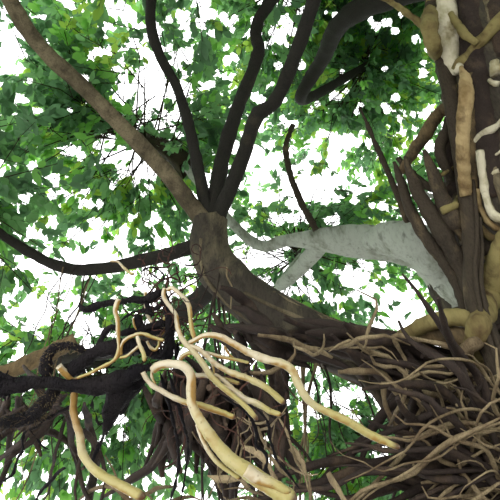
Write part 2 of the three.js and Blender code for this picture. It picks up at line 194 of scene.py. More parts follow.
def ripple(*place: float) -> float:
    """Smooth noise from -1 to 1 at a place given as three numbers."""
    return noise.noise(Vector(place))


def along(stops: Sequence[float], share: float) -> float:
    """The value at a share of evenly spaced stops."""
    if len(stops) == 1:
        return stops[0]
    place = min(max(share, 0.0), 1.0) * (len(stops) - 1)
    low = min(int(place), len(stops) - 2)
    return stops[low] + (stops[low + 1] - stops[low]) * (place - low)


class Path:
    """A curve that can be read at any share of its length."""

    def __init__(self, points: Iterable[Vector]) -> None:
        """Keeps closely spaced points and the length up to each."""
        self.points = np.array([tuple(p) for p in points])
        gaps = np.linalg.norm(np.diff(self.points, axis=0), axis=1)
        self.lengths = np.concatenate([[0.0], np.cumsum(gaps)])

    @classmethod
    def bend(cls, start: Vector, corner: Vector, end: Vector, count: int = 48) -> "Path":
        """A smooth bend that leaves start towards corner and comes to end from it."""
        shares = [i / count for i in range(count + 1)]
        return cls(start * (1 - t) ** 2 + corner * 2 * t * (1 - t) + end * t * t for t in shares)

    @classmethod
    def through(cls, stops: Sequence[Vector], count: int = 12) -> "Path":
        """A smooth curve through the given points."""
        if len(stops) == 2:
            return cls([stops[0].lerp(stops[1], i / count) for i in range(count + 1)])
        ends = [stops[0] * 2 - stops[1], *stops, stops[-1] * 2 - stops[-2]]
        made = [stops[0]]
        for a, b, c, d in zip(ends, ends[1:], ends[2:], ends[3:]):
            for i in range(1, count + 1):
                t = i / count
                square, cube = a * 2 - b * 5 + c * 4 - d, b * 3 - a - c * 3 + d
                made.append(0.5 * (b * 2 + (c - a) * t + square * t**2 + cube * t**3))
        return cls(made)

    @property
    def length(self) -> float:
        """The whole length in metres."""
        return float(self.lengths[-1])

    def at(self, share: float) -> Vector:
        """The point at a share of the length."""
        return Vector(self.sample([share])[0])

    def sample(self, shares: Sequence[float]) -> Rows:
        """The points at shares of the length, one a row."""
        wanted = np.clip(np.asarray(shares, dtype=float), 0.0, 1.0) * self.length
        return np.stack([np.interp(wanted, self.lengths, self.points[:, k]) for k in range(3)], axis=1)

    def tangent(self, share: float, reach: float = 0.02) -> Vector:
        """The direction of the curve at a share of its length."""
        return (self.at(share + reach) - self.at(share - reach)).normalized()


# Meshes


def linked(name: str, data: ID) -> Object:
    """An object of a mesh, a curve, a lamp or a camera, linked to the scene at the origin."""
    made = bpy.data.objects.new(name, data)
    bpy.context.scene.collection.objects.link(made)
    return made


def object_of(name: str, mesh: Mesh) -> Object:
    """A smooth-shaded object of a mesh."""
    mesh.name = name
    mesh.shade_smooth()
    return linked(name, mesh)


def as_shown(holder: Object) -> Mesh:
    """The mesh that an object shows once its bevel or its modifiers are in force. The object is freed."""
    shown = holder.evaluated_get(bpy.context.evaluated_depsgraph_get())
    mesh = bpy.data.meshes.new_from_object(shown)
    bpy.data.objects.remove(holder)
    return mesh


def vertex_rows(mesh: Mesh, kind: str) -> Rows:
    """The places, as "co", or the normals, as "normal", of a mesh's vertices, one a row."""
    rows = np.empty(len(mesh.vertices) * 3)
    mesh.vertices.foreach_get(kind, rows)
    return rows.reshape(-1, 3)


def place_vertices(mesh: Mesh, places: Rows) -> None:
    """Moves a mesh's vertices to new places."""
    mesh.vertices.foreach_set("co", places.ravel())
    mesh.update()


def ring_steps(path: Path, step: float) -> int:
    """How many rings of about one step a path takes."""
    return max(3, round(path.length / step))


def swept(path: Path, radius: Callable[[float], float], sides: int, step: float) -> BMesh:
    """A closed tube made by carrying one ring of edges along a path.

    Args:
        path: The tube's middle line.
        radius: Gives the radius at a share of the length.
        sides: How many edges the ring has.
        step: The distance between rings.

    Returns:
        A bmesh with an "along" layer that holds each vertex's share of the length.
    """
    count = ring_steps(path, step)
    places = [Vector(p) for p in path.sample(np.linspace(0, 1, count + 1))]
    made = bmesh.new()
    layer = made.verts.layers.float.new("along")
    first = (places[1] - places[0]).normalized()
    turn = first.to_track_quat("Z", "Y").to_matrix().to_4x4()
    start = Matrix.Translation(places[0]) @ turn
    heading_now, size = first, max(radius(0.0), FINEST_TUBE)
    bmesh.ops.create_circle(made, cap_ends=False, segments=sides, radius=size, matrix=start)
    edges = list(made.edges)
    bmesh.ops.contextual_create(made, geom=edges)
    for i in range(1, count + 1):
        ahead = (places[min(i + 1, count)] - places[i - 1]).normalized()
        new_size = max(radius(i / count), FINEST_TUBE)
        grown = bmesh.ops.extrude_edge_only(made, edges=edges)["geom"]
        verts = [e for e in grown if isinstance(e, BMVert)]
        edges = [e for e in grown if isinstance(e, BMEdge) and all(v in verts for v in e.verts)]
        roll = heading_now.rotation_difference(ahead).to_matrix().to_4x4()
        grow = Matrix.Scale(new_size / size, 4)
        move = Matrix.Translation(places[i]) @ roll @ grow @ Matrix.Translation(-places[i - 1])
        bmesh.ops.transform(made, matrix=move, verts=verts)
        for v in verts:
            v[layer] = i / count
        heading_now, size = ahead, new_size
    bmesh.ops.contextual_create(made, geom=edges)
    bmesh.ops.recalc_face_normals(made, faces=made.faces)
    return made


def joined(parts: Iterable[BMesh]) -> Mesh:
    """One mesh of several bmeshes, which are freed."""
    whole = bmesh.new()
    whole.verts.layers.float.new("along")
    for part in parts:
        spare = bpy.data.meshes.new("spare")
        part.to_mesh(spare)
        part.free()
        whole.from_mesh(spare)
        bpy.data.meshes.remove(spare)
    mesh = bpy.data.meshes.new("joined")
    whole.to_mesh(mesh)
    whole.free()
    return mesh


@dataclass
class Strand:
    """One root or twig: its path and the radii along it."""

    path: Path
    radii: Sequence[float]
    knots: float = 0.0
    seed: float = 0.0

    def radius(self, share: float) -> float:
        """The radius at a share of the length, with its knots."""
        base = along(self.radii, share)
        if not self.knots:
            return base
        place = share * self.path.length * KNOTS_A_METRE
        return base * (1 + self.knots * ripple(place, self.seed * 7.3, base * 50))


def strands_mesh(strands: Sequence[Strand], step: float, sides: int) -> Mesh:
    """One mesh of many strands, made as a curve with round bevel and closed ends.

    Args:
        strands: The strands.
        step: The distance between rings.
        sides: 4, 6, 8 or more edges a ring.

    Returns:
        The mesh.
    """
    curve = bpy.data.curves.new("strands", "CURVE")
    curve.dimensions = "3D"
    curve.bevel_depth = 1.0
    curve.bevel_resolution = max(0, (sides - 4) // 2)
    curve.use_fill_caps = True
    for strand in strands:
        count = ring_steps(strand.path, step)
        shares = np.linspace(0, 1, count + 1)
        points = strand.path.sample(shares)
        spline = curve.splines.new("POLY")
        spline.points.add(count)
        spline.points.foreach_set("co", np.hstack([points, np.ones((count + 1, 1))]).ravel())
        spline.points.foreach_set("radius", [max(strand.radius(s), FINEST_STRAND) for s in shares])
    mesh = as_shown(linked("strands", curve))
    bpy.data.curves.remove(curve)
    mesh.materials.clear()
    return mesh


def array_mesh(name: str, verts: Rows, faces: Rows) -> Mesh:
    """A mesh of triangles from two arrays."""
    mesh = bpy.data.meshes.new(name)
    mesh.vertices.add(len(verts))
    mesh.vertices.foreach_set("co", verts.astype(np.float32).ravel())
    mesh.loops.add(faces.size)
    mesh.loops.foreach_set("vertex_index", faces.astype(np.int32).ravel())
    mesh.polygons.add(len(faces))
    mesh.polygons.foreach_set("loop_start", np.arange(0, faces.size, 3, dtype=np.int32))
    mesh.update(calc_edges=True)
    return mesh


def relief(mesh: Mesh, depth: float, size: Triple, seed: float) -> None:
    """Moves each vertex along its normal by layered noise.

    Args:
        mesh: The mesh to shape.
        depth: The largest move, in metres.
        size: The pattern's size along X, Y and Z.
        seed: Moves the pattern.
    """
    places, normals = vertex_rows(mesh, "co"), vertex_rows(mesh, "normal")
    scaled = places / np.array(Vector(size)) + seed
    amount = np.array([noise.fractal(Vector(p), *RELIEF_LAYERS) for p in scaled])
    place_vertices(mesh, places + normals * (np.clip(amount, -1, 1) * depth)[:, None])


# Shader expressions


class Shade:
    """A shader value that adds Math nodes as it is used in an expression."""

    def __init__(self, paint: "Paint", socket: NodeSocket) -> None:
        """Wraps a socket of a paint's node tree."""
        self.paint = paint
        self.socket = socket

    def _math(self, operation: str, *values: "Shade | float", clamp: bool = False) -> "Shade":
        """The result of a new Math node."""
        sockets = {i: value for i, value in enumerate(values)}
        made = self.paint.node("ShaderNodeMath", {"operation": operation, "use_clamp": clamp}, sockets)
        return Shade(self.paint, made.outputs[0])

    def __add__(self, other: "Shade | float") -> "Shade":
        """The sum."""
        return self._math("ADD", self, other)

    __radd__ = __add__

    def __mul__(self, other: "Shade | float") -> "Shade":
        """The product."""
        return self._math("MULTIPLY", self, other)

    __rmul__ = __mul__

    def __sub__(self, other: "Shade | float") -> "Shade":
        """The difference."""
        return self._math("SUBTRACT", self, other)

    def __rsub__(self, other: "Shade | float") -> "Shade":
        """The reflected difference, as in 1 - mask."""
        return self._math("SUBTRACT", other, self)

    def above(self, edge: float, width: float) -> "Shade":
        """0 below an edge and 1 above it, with a soft step of the given width."""
        return ((self - (edge - width / 2)) * (1 / width)).clamped()

    def clamped(self) -> "Shade":
        """The value held between 0 and 1."""
        return self._math("ADD", self, 0.0, clamp=True)


class Paint:
    """Builds one material from nodes."""

    def __init__(self, name: str) -> None:
        """Starts an empty material."""
        self.material = bpy.data.materials.new(name)
        self.material.use_nodes = True
        self.tree = self.material.node_tree
        self.tree.nodes.clear()
        self.coordinates = self.node("ShaderNodeTexCoord", {}, {}).outputs["Object"]

    def node(self, kind: str, settings: dict, sockets: dict) -> Node:
        """Adds a node, sets it, then fills or links its sockets.

        Args:
            kind: The node's type.
            settings: Its properties.
            sockets: Input name or number to a value, a Shade or an output socket.

        Returns:
            The node.
        """
        made = self.tree.nodes.new(kind)
        for key, value in settings.items():
            setattr(made, key, value)
        for key, value in sockets.items():
            if isinstance(value, Shade):
                self.tree.links.new(value.socket, made.inputs[key])
            elif isinstance(value, NodeSocket):
                self.tree.links.new(value, made.inputs[key])
            elif isinstance(value, tuple) and len(value) == 3 and made.inputs[key].type == "RGBA":
                made.inputs[key].default_value = (*value, 1.0)
            else:
                made.inputs[key].default_value = value
        return made

    def stretched(self, size: Triple) -> NodeSocket:
        """Object coordinates divided by a size along each axis."""
        scale = tuple(1 / s for s in size)
        return self.node("ShaderNodeMapping", {}, {"Vector": self.coordinates, "Scale": scale}).outputs[0]

    def noise(self, size: Triple, detail: float = 3.0, rough: float = 0.55) -> Shade:
        """Layered noise from 0 to 1 with patches of about a size, in metres."""
        sockets = {"Vector": self.stretched(size), "Scale": 1.0, "Detail": detail, "Roughness": rough}
        return Shade(self, self.node("ShaderNodeTexNoise", {}, sockets).outputs["Fac"])

    def cells(self, size: Triple) -> Shade:
        """Distance to the nearest of scattered points, in cells of about a size."""
        made = self.node("ShaderNodeTexVoronoi", {}, {"Vector": self.stretched(size), "Scale": 1.0})
        return Shade(self, made.outputs["Distance"])

    def attribute(self, name: str) -> Shade:
        """One of the piece's own values."""
        made = self.node("ShaderNodeAttribute", {"attribute_name": name}, {})
        return Shade(self, made.outputs["Fac"])

    def mix(self, factor: Shade, a: object, b: object) -> NodeSocket:
        """A colour between two colours or colour sockets."""
        made = self.node("ShaderNodeMix", {"data_type": "RGBA"}, {"Factor": factor, 6: a, 7: b})
        return made.outputs[2]

    def bump(self, height: Shade, strength: float, distance: float) -> NodeSocket:
        """A normal bent by a height."""
        sockets = {"Height": height, "Strength": strength, "Distance": distance}
        return self.node("ShaderNodeBump", {}, sockets).outputs[0]

    def principled(self, sockets: dict) -> NodeSocket:
        """A Principled shader with the given sockets."""
        return self.node("ShaderNodeBsdfPrincipled", {}, sockets).outputs[0]

    def close(self, shader: NodeSocket) -> Material:
        """Links the shader to the output and gives the material."""
        self.node("ShaderNodeOutputMaterial", {}, {"Surface": shader})
        return self.material


# Finishes


@dataclass(frozen=True)
class BarkFinish:
    """Bark with long patches of two colours, dark pits and a lengthwise grain."""

    name: str
    pale: Colour
    brown: Colour
    dark: Colour
    patch: float = 0.45
    grain: float = 0.012
    brown_share: float = 0.5
    roughness: float = 0.8
    strength: float = 0.6
    gloss: float = 0.18
    speckle: float = 0.55

    @cache
    def material(self) -> Material:
        """Makes the material, once for each finish."""
        paint = Paint(self.name)
        patches = paint.noise((self.patch, self.patch, self.patch * 2.2), 4)
        stains = paint.noise((0.07, 0.07, 0.22), 5, 0.65)
        fine = paint.noise((self.grain, self.grain, self.grain * 5), 5, 0.7)
        pits = paint.cells((self.grain * 1.6, self.grain * 1.6, self.grain * 3))
        browned = (patches + stains * 0.6 - 0.3).above(1 - self.brown_share, 0.25)
        tint = paint.mix(browned, self.pale, self.brown)
        tint = paint.mix(stains.above(0.66, 0.2) * 0.7, tint, self.dark)
        tint = paint.mix((1 - fine).above(0.58, 0.2) * self.speckle, tint, self.dark)
        height = fine * 0.6 + stains * 0.8 - (1 - pits).above(0.75, 0.3) * 0.25
        sockets = {
            "Base Color": tint,
            "Roughness": self.roughness,
            "Normal": paint.bump(height, self.strength, 0.01),
            "Specular IOR Level": self.gloss,
        }
        return paint.close(paint.principled(sockets))


@dataclass(frozen=True)
class FreshFinish:
    """Fresh root skin: cream and greenish towards the tip, with amber painted shade on the side that faces
    down and to the right.

    With an amber end, its first stretch is amber all round.
    """

    name: str = "fresh_root_skin"
    cream: Colour = (0.41, 0.365, 0.265)
    tan: Colour = (0.32, 0.25, 0.14)
    amber: Colour = (0.235, 0.135, 0.032)
    green: Colour = (0.28, 0.24, 0.07)
    scar: Colour = (0.05, 0.018, 0.012)
    amber_end: float = 0.0

    @cache
    def material(self) -> Material:
        """Makes the material, once for each finish."""
        paint = Paint(self.name)
        share = paint.attribute("along")
        under = paint.attribute("underside")
        mottle = paint.noise((0.012, 0.012, 0.012), 4)
        specks = paint.noise((0.0025, 0.0025, 0.0025), 3)
        bands = paint.noise((0.03, 0.03, 0.03), 3)
        tint = paint.mix(mottle.above(0.5, 0.3) * 0.6, self.cream, self.tan)
        tint = paint.mix((share + bands * 0.6 - 0.3).above(0.5, 0.4) * 0.85, tint, self.green)
        # Painted shade: amber where the skin faces down and to the right, as kept in the "underside" values
        tint = paint.mix((under + mottle * 0.2 + bands * 0.7 - 0.45).above(0.71, 0.16), tint, self.amber)
        if self.amber_end:
            stretch = share.above(0.12, 0.03) * (1 - share.above(self.amber_end, 0.14)) * 0.9
            tint = paint.mix(stretch, tint, self.amber)
        tint = paint.mix(specks.above(0.68, 0.1) * 0.5, tint, self.scar)
        tint = paint.mix(share.above(0.97, 0.02) * 0.85, tint, self.scar)
        sockets = {
            "Base Color": tint,
            "Roughness": 0.42,
            "Normal": paint.bump(specks * 0.5 + mottle, 0.35, 0.002),
            "Specular IOR Level": 0.3,
            "Subsurface Weight": 0.1,
            "Subsurface Radius": (0.004, 0.002, 0.001),
        }
        return paint.close(paint.principled(sockets))


class LeafTint(Enum):
    """The four greens that sprays are dealt."""

    DEEP = ((0.10, 0.175, 0.10), (0.18, 0.39, 0.17))
    MID = ((0.145, 0.27, 0.12), (0.29, 0.60, 0.22))
    BRIGHT = ((0.155, 0.37, 0.09), (0.36, 0.79, 0.15))
    YELLOW = ((0.27, 0.42, 0.07), (0.56, 0.85, 0.14))


@dataclass(frozen=True)
class LeafFinish:
    """A leaf that sends back a dark green and lets a bright one through."""

    tint: LeafTint
    through: float = 0.5

    @cache
    def material(self) -> Material:
        """Makes the material, once for each finish."""
        paint = Paint(f"leaf_{self.tint.name.lower()}")
        surface, behind = self.tint.value
        veins = paint.noise((0.02, 0.02, 0.02), 2)
        face = paint.principled(
            {
                "Base Color": surface,
                "Roughness": 0.42,
                "Normal": paint.bump(veins, 0.15, 0.004),
                "Specular IOR Level": 0.25,
            }
        )
        light = paint.node("ShaderNodeBsdfTranslucent", {}, {"Color": behind})
        shares = {0: self.through, 1: face, 2: light.outputs[0]}
        return paint.close(paint.node("ShaderNodeMixShader", {}, shares).outputs[0])


Finish = BarkFinish | FreshFinish | LeafFinish

# Painted highlight: pale roots' bark made near-white cream, as where the sky's light falls on them
CREAM_HIGHLIGHT_BARK = BarkFinish(
    "cream_bark", (0.60, 0.55, 0.41), (0.30, 0.26, 0.14), (0.14, 0.10, 0.05),
    0.07, 0.02, 0.45, strength=0.25, speckle=0.1,
)
OLIVE_BARK = BarkFinish(
    "olive_bark", (0.23, 0.19, 0.075), (0.10, 0.065, 0.028), (0.03, 0.02, 0.012),
    0.10, 0.02, 0.42, strength=0.3, speckle=0.2,
)
TAN_STRAND = BarkFinish(
    "tan_strand", (0.40, 0.30, 0.15), (0.20, 0.13, 0.055), (0.05, 0.03, 0.015),
    0.08, 0.015, 0.45, strength=0.3, speckle=0.15,
)
OCHRE_BARK = BarkFinish(
    "ochre_bark", (0.17, 0.12, 0.06), (0.06, 0.044, 0.026), (0.02, 0.014, 0.01), 0.10, 0.012, 0.5
)
GREY_BARK = BarkFinish(
    "grey_bark", (0.44, 0.47, 0.41), (0.19, 0.20, 0.15), (0.06, 0.06, 0.05), 0.3, 0.02, 0.4, speckle=0.25
)
TAN_BARK = BarkFinish(
    "tan_bark", (0.22, 0.18, 0.11), (0.085, 0.068, 0.042), (0.025, 0.02, 0.014), 0.3, 0.008
)
DARK_BARK = BarkFinish(
    "dark_bark", (0.06, 0.05, 0.032), (0.024, 0.022, 0.018), (0.009, 0.009, 0.008), 0.2, 0.008, 0.75
)
UMBER_BARK = BarkFinish(
    "umber_bark", (0.17, 0.125, 0.07), (0.05, 0.038, 0.026), (0.009, 0.007, 0.006), 0.12, 0.006, 0.7
)
TRUNK_BARK = BarkFinish(
    "trunk_bark", (0.155, 0.13, 0.08), (0.055, 0.046, 0.035), (0.010, 0.009, 0.009), 0.3, 0.010, 0.62
)
DARK_ROOT = BarkFinish(
    "dark_root", (0.10, 0.068, 0.045), (0.038, 0.027, 0.022), (0.014, 0.011, 0.011), 0.10, 0.004, 0.65
)
LIT_ROOT = BarkFinish("lit_root", (0.29, 0.225, 0.13), (0.13, 0.09, 0.05), (0.03, 0.022, 0.016), 0.12, 0.004)
RED_ROOT = BarkFinish(
    "reddish_rootlets", (0.07, 0.03, 0.02), (0.022, 0.012, 0.010), (0.006, 0.005, 0.005), 0.03, 0.002
)
HAIR = BarkFinish("root_hairs", (0.20, 0.15, 0.08), (0.07, 0.05, 0.03), (0.02, 0.015, 0.01), 0.02, 0.002)
OLD_BARK = BarkFinish(
    "old_root_bark", (0.016, 0.013, 0.014), (0.008, 0.007, 0.009), (0.003, 0.003, 0.003),
    0.03, 0.0016, roughness=0.62, strength=0.9, gloss=0.08,
)
TWIG_BARK = BarkFinish(
    "twig_bark", (0.06, 0.045, 0.025), (0.035, 0.026, 0.016), (0.015, 0.01, 0.008), 0.3, 0.004
)
FRESH_SKIN = FreshFinish()
AMBER_TOPPED_SKIN = FreshFinish("fresh_root_skin_left", amber_end=0.42)


def dress(piece: Object, finish: Finish, slot: str, *nodes: str) -> None:
    """Gives a piece its finish and its body, and hides the nodes that it stands for."""
    piece.data.materials.clear()
    piece.data.materials.append(finish.material())
    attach(piece, "root")
    if nodes:
        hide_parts(*nodes)
    log.info("%s: %d faces", piece.name, len(piece.data.polygons))


# The skeleton, by the same rule as the solids


@dataclass(frozen=True)
class Limb:
    """A main limb: its route as points, or as a start with two headings and a length, and its radii."""

    name: str
    points: tuple
    radii: Floats
    headings: tuple = ()
    length: float = 0.0

    def path(self) -> Path:
        """The limb's middle line."""
        stops = [Vector(p) for p in self.points]
        if not self.headings:
            return Path.through(stops)
        corner = stops[0] + heading(*self.headings[0]) * (self.length / 2)
        return Path.bend(stops[0], corner, corner + heading(*self.headings[1]) * (self.length / 2))


@dataclass(frozen=True)
class Bough:
    """A bough: its limb and how far along it leaves, its mass, its route and radii.

    The route is the first heading of an even bend, or the points that it passes.
    """

    name: str
    parent: str
    share: float
    mass: str
    route: tuple
    radii: Floats


LIMBS = (
    Limb("limb_front", ((0, -0.10, 2.35),), (0.35, 0.235), ((265, 58), (265, 68)), 2.78),
    Limb("limb_left", ((-0.10, 0, 2.44), (-0.65, 0.03, 2.74), (-1.09, 0.08, 3.03), (-1.405, 0.08, 3.30),
        (-1.575, 0.04, 3.54), (-1.60, -0.025, 3.80)), (0.185, 0.135, 0.118, 0.128, 0.118)),
    Limb("limb_back_left", ((0.08, 0.20, 2.35), (0.19, 0.56, 3.30), (0.13, 0.69, 3.99)),
        (0.255, 0.17, 0.15)),
    Limb("limb_right", ((0.15, 0, 2.35),), (0.26, 0.16), ((-8, 32), (-4, 42)), 2.32),
    Limb("limb_back_right", ((0.12, 0.15, 2.35),), (0.25, 0.16), ((58, 40), (55, 50)), 2.32),
    Limb("limb_front_right", ((0.12, -0.15, 2.35),), (0.24, 0.15), ((-48, 30), (-50, 40)), 2.22),
)
BOUGHS = (
    Bough("bough_left", "limb_left", 0.93, "crown_low_1", ((-1.965, 0.115, 3.605), (-2.48, 0.265, 3.665),
        (-2.90, 0.23, 3.86)), (0.046, 0.038, 0.034, 0.030)),
    Bough("bough_front_left", "limb_left", 0.97, "crown_low_2", ((-1.915, -0.285, 4.035),
        (-2.30, -0.68, 4.19), (-2.61, -1.11, 4.24)), (0.058, 0.048, 0.042, 0.036)),
    Bough("bough_front", "limb_left", 0.95, "crown_low_3", ((-1.41, -0.30, 4.02), (-1.315, -0.575, 4.09),
        (-1.085, -0.93, 4.21)), (0.050, 0.040, 0.038, 0.036)),
    Bough("bough_back_left", "limb_left", 0.8, "crown_low_8", ((-1.996, 0.606, 3.365),
        (-2.356, 0.953, 3.523), (-3.058, 1.464, 3.804)), (0.058, 0.050, 0.046, 0.042)),
    Bough("bough_over_left", "limb_left", 0.98, "crown_mid_1", ((-1.73, -0.33, 4.275), (-1.83, -0.55, 4.54),
        (-1.995, -0.93, 4.75)), (0.042, 0.034, 0.032)),
    Bough("bough_over_right", "limb_left", 0.96, "crown_mid_2", ((-1.535, -0.205, 4.23),
        (-1.44, -0.405, 4.545), (-1.29, -0.635, 4.95), (-1.185, -0.90, 5.325)),
        (0.056, 0.046, 0.042, 0.038)),
    Bough("bough_pale", "limb_back_left", 0.93, "crown_mid_6", ((0.06, 0.65, 4.16), (-0.13, 0.685, 4.37),
        (-0.57, 0.815, 4.59), (-0.985, 0.975, 4.78), (-1.35, 1.11, 4.93)),
        (0.150, 0.148, 0.142, 0.060, 0.048, 0.044, 0.040)),
    Bough("bough_pale_fork", "bough_pale", 0.4, "crown_mid_5", ((-0.87, 1.305, 4.755), (-1.03, 1.79, 4.99)),
        (0.085, 0.070, 0.050, 0.040)),
    Bough("bough_back_top", "limb_front", 0.9, "crown_top_3", ((-0.60, -0.80, 5.305), (-0.69, -0.25, 5.885),
        (-0.775, 0.37, 6.40)), (0.085, 0.075, 0.058, 0.045)),
    Bough("bough_front_top", "limb_front", 0.96, "crown_top_1", (190, 72), (0.135, 0.060)),
    Bough("bough_front_mid", "limb_front", 0.94, "crown_mid_3", (355, 22), (0.115, 0.055)),
    Bough("bough_right", "limb_right", 0.94, "crown_low_5", (-5, 14), (0.100, 0.052)),
    Bough("bough_right_mid", "limb_right", 0.92, "crown_mid_4", (60, 55), (0.092, 0.050)),
    Bough("bough_back_right", "limb_back_right", 0.94, "crown_low_6", (45, 8), (0.100, 0.052)),
    Bough("bough_back", "limb_back_right", 0.92, "crown_low_7", (115, 4), (0.095, 0.050)),
    Bough("bough_front_right", "limb_front_right", 0.94, "crown_low_4", (-46, 14), (0.095, 0.052)),
    Bough("bough_right_top", "limb_front_right", 0.91, "crown_top_2", (-75, 78), (0.092, 0.050)),
)


@dataclass(frozen=True)
class Ring:
    """A ring of foliage masses."""

    prefix: str
    count: int
    radius: float
    height: float
    reach: Triple
    start: float


RINGS = (
    Ring("crown_low", 8, 4.85, 4.60, (2.15, 2.15, 1.55), 180),
    Ring("crown_mid", 6, 3.00, 6.60, (2.05, 2.05, 1.50), 225),
    Ring("crown_top", 3, 1.00, 8.60, (1.95, 1.95, 1.40), 200),
)


@dataclass
class Skeleton:
    """Where limbs, boughs and masses run."""

    bough_entry: float = 0.7
    margin: float = 0.012
    stray_out: float = 0.06
    stray_up: float = 0.32
    paths: dict[str, Path] = field(default_factory=dict)
    names: list[str] = field(default_factory=list)
    middles: Rows = field(init=False)
    reaches: Rows = field(init=False)
    crown: tuple[Rows, Rows] = field(init=False)

    def __post_init__(self) -> None:
        """Works out the masses and the crown's box, then the limbs and boughs."""
        middles, reaches = [], []
        for ring in RINGS:
            for i in range(ring.count):
                turn = math.radians(ring.start + 360 * i / ring.count)
                out = ring.radius * (1 + self.stray_out * (chance(3, i) - 0.5))
                up = ring.height + self.stray_up * (chance(5, i) - 0.5)
                middles.append((out * math.cos(turn), out * math.sin(turn), up))
                reaches.append(ring.reach)
                self.names.append(f"{ring.prefix}_{i + 1}")
        self.middles, self.reaches = np.array(middles), np.array(reaches)
        boxes = np.array([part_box(name) for name in self.names])
        self.crown = boxes[:, 0].min(axis=0), boxes[:, 1].max(axis=0)
        for limb in LIMBS:
            self.paths[limb.name] = limb.path()
        for bough in BOUGHS:
            self.paths[bough.name] = self.bough_path(bough)

    def bough_path(self, bough: Bough) -> Path:
        """A bough from its limb to where it enters its mass."""
        k = self.names.index(bough.mass)
        middle, reach = Vector(self.middles[k]), self.reaches[k]
        start = self.paths[bough.parent].at(bough.share)
        back = start - middle
        entry = middle + back * (self.bough_entry / float(np.linalg.norm(np.array(back) / reach)))
        if isinstance(bough.route[0], tuple):
            return Path.through([start, *map(Vector, bough.route), entry])
        corner = start + heading(*bough.route) * ((entry - start).length / 2)
        return Path.bend(start, corner, entry)

    def inside(self, k: int, places: Rows, room: float = 0.0) -> Rows:
        """Which places lie in the k-th mass's own space, at least some room from its sides.

        Args:
            k: The mass.
            places: The places.
            room: How far they stay inside its sides, or below 0 how far they may stand out of them.

        Returns:
            A truth value for each place. None lies outside the crown's own box.
        """
        out = places - self.middles[k]
        fine = np.linalg.norm(out / (self.reaches[k] - room), axis=1) < 1
        for j, other in enumerate(self.middles):
            if j != k:
                across = other - self.middles[k]
                far = np.linalg.norm(across)
                fine &= out @ across / far < far / 2 - self.margin - room
        low, high = self.crown
        edge = max(room, 0.0)
        return fine & np.all(places > low + edge, axis=1) & np.all(places < high - edge, axis=1)


# Trunk and limbs


@dataclass
class Trunk:
    """The fluted trunk and six limbs, fused into one skin of bark."""

    height: float = 2.82
    waist: float = 0.64
    foot: float = 1.06
    flare: float = 7.5
    shoulder: float = 0.86
    lobes: int = 7
    lobe_depth: float = 0.17
    depth_aloft: float = 0.3
    minor_lobe: float = 0.6
    minor_turn: float = 1.3
    dome_top: float = 0.12
    sides: int = 140
    rings: int = 70
    voxel: float = 0.024

    def radius(self, share: float, azimuth: float) -> float:
        """The trunk's radius at a share of its height and an azimuth."""
        angle = azimuth + math.pi / 2
        spread = math.exp(-share * self.flare)
        over = max(0.0, share - self.shoulder) / (1 - self.shoulder)
        dome = math.sqrt(max(self.dome_top, 1 - over**2))
        body = self.waist + (self.foot - self.waist) * spread
        minor = math.sin(angle * (self.lobes - 3) + self.minor_turn)
        lobe = math.sin(angle * self.lobes) + self.minor_lobe * minor
        depth = self.lobe_depth * (self.depth_aloft + (1 - self.depth_aloft) * spread)
        return body * dome * (1 + lobe * depth)

    def surface(self, azimuth: float, height: float, lift: float = 0.0) -> Vector:
        """A point on the trunk's surface, or lifted off it."""
        out = self.radius(height / self.height, azimuth) + lift
        return Vector((out * math.cos(azimuth), out * math.sin(azimuth), height))

    def body(self) -> BMesh:
        """The trunk alone: a cylinder cut into rings and drawn out to its lobes."""
        made = bmesh.new()
        made.verts.layers.float.new("along")
        upright = Matrix.Translation((0, 0, self.height / 2))
        drum = {"segments": self.sides, "radius1": 1, "radius2": 1, "depth": self.height}
        bmesh.ops.create_cone(made, cap_ends=True, matrix=upright, **drum)
        uprights = [e for e in made.edges if abs(e.verts[0].co.z - e.verts[1].co.z) > 1]
        bmesh.ops.subdivide_edges(made, edges=uprights, cuts=self.rings, use_grid_fill=True)
        for v in made.verts:
            azimuth = math.atan2(v.co.y, v.co.x)
            v.co = self.surface(azimuth, v.co.z)
        return made

    def skin(self, skeleton: Skeleton, ribs: Sequence[Strand]) -> Object:
        """Trunk, limbs and the roots grown into them, remeshed as one skin with relief."""
        parts = [self.body()]
        for limb in LIMBS:
            path = skeleton.paths[limb.name]
            parts.append(swept(path, lambda s, r=limb.radii: along(r, s), sides=24, step=0.05))
        parts += [swept(rib.path, rib.radius, sides=10, step=0.04) for rib in ribs]
        rough = linked("rough", joined(parts))
        remesh = rough.modifiers.new("fuse", "REMESH")
        remesh.mode = "VOXEL"
        remesh.voxel_size = self.voxel
        soften = rough.modifiers.new("soften", "SMOOTH")
        soften.iterations = 2
        fused = as_shown(rough)
        relief(fused, depth=0.02, size=(0.16, 0.16, 0.5), seed=3.0)
        relief(fused, depth=0.007, size=(0.05, 0.05, 0.16), seed=9.0)
        self.cut_flat(fused)
        return object_of("bark_trunk_and_limbs", fused)

    @staticmethod
    def cut_flat(mesh: Mesh, depth: float = 0.03) -> None:
        """Presses the lowest vertices into the flat cut at ground level."""
        places = vertex_rows(mesh, "co")
        places[places[:, 2] < depth, 2] = 0.0
        place_vertices(mesh, places)


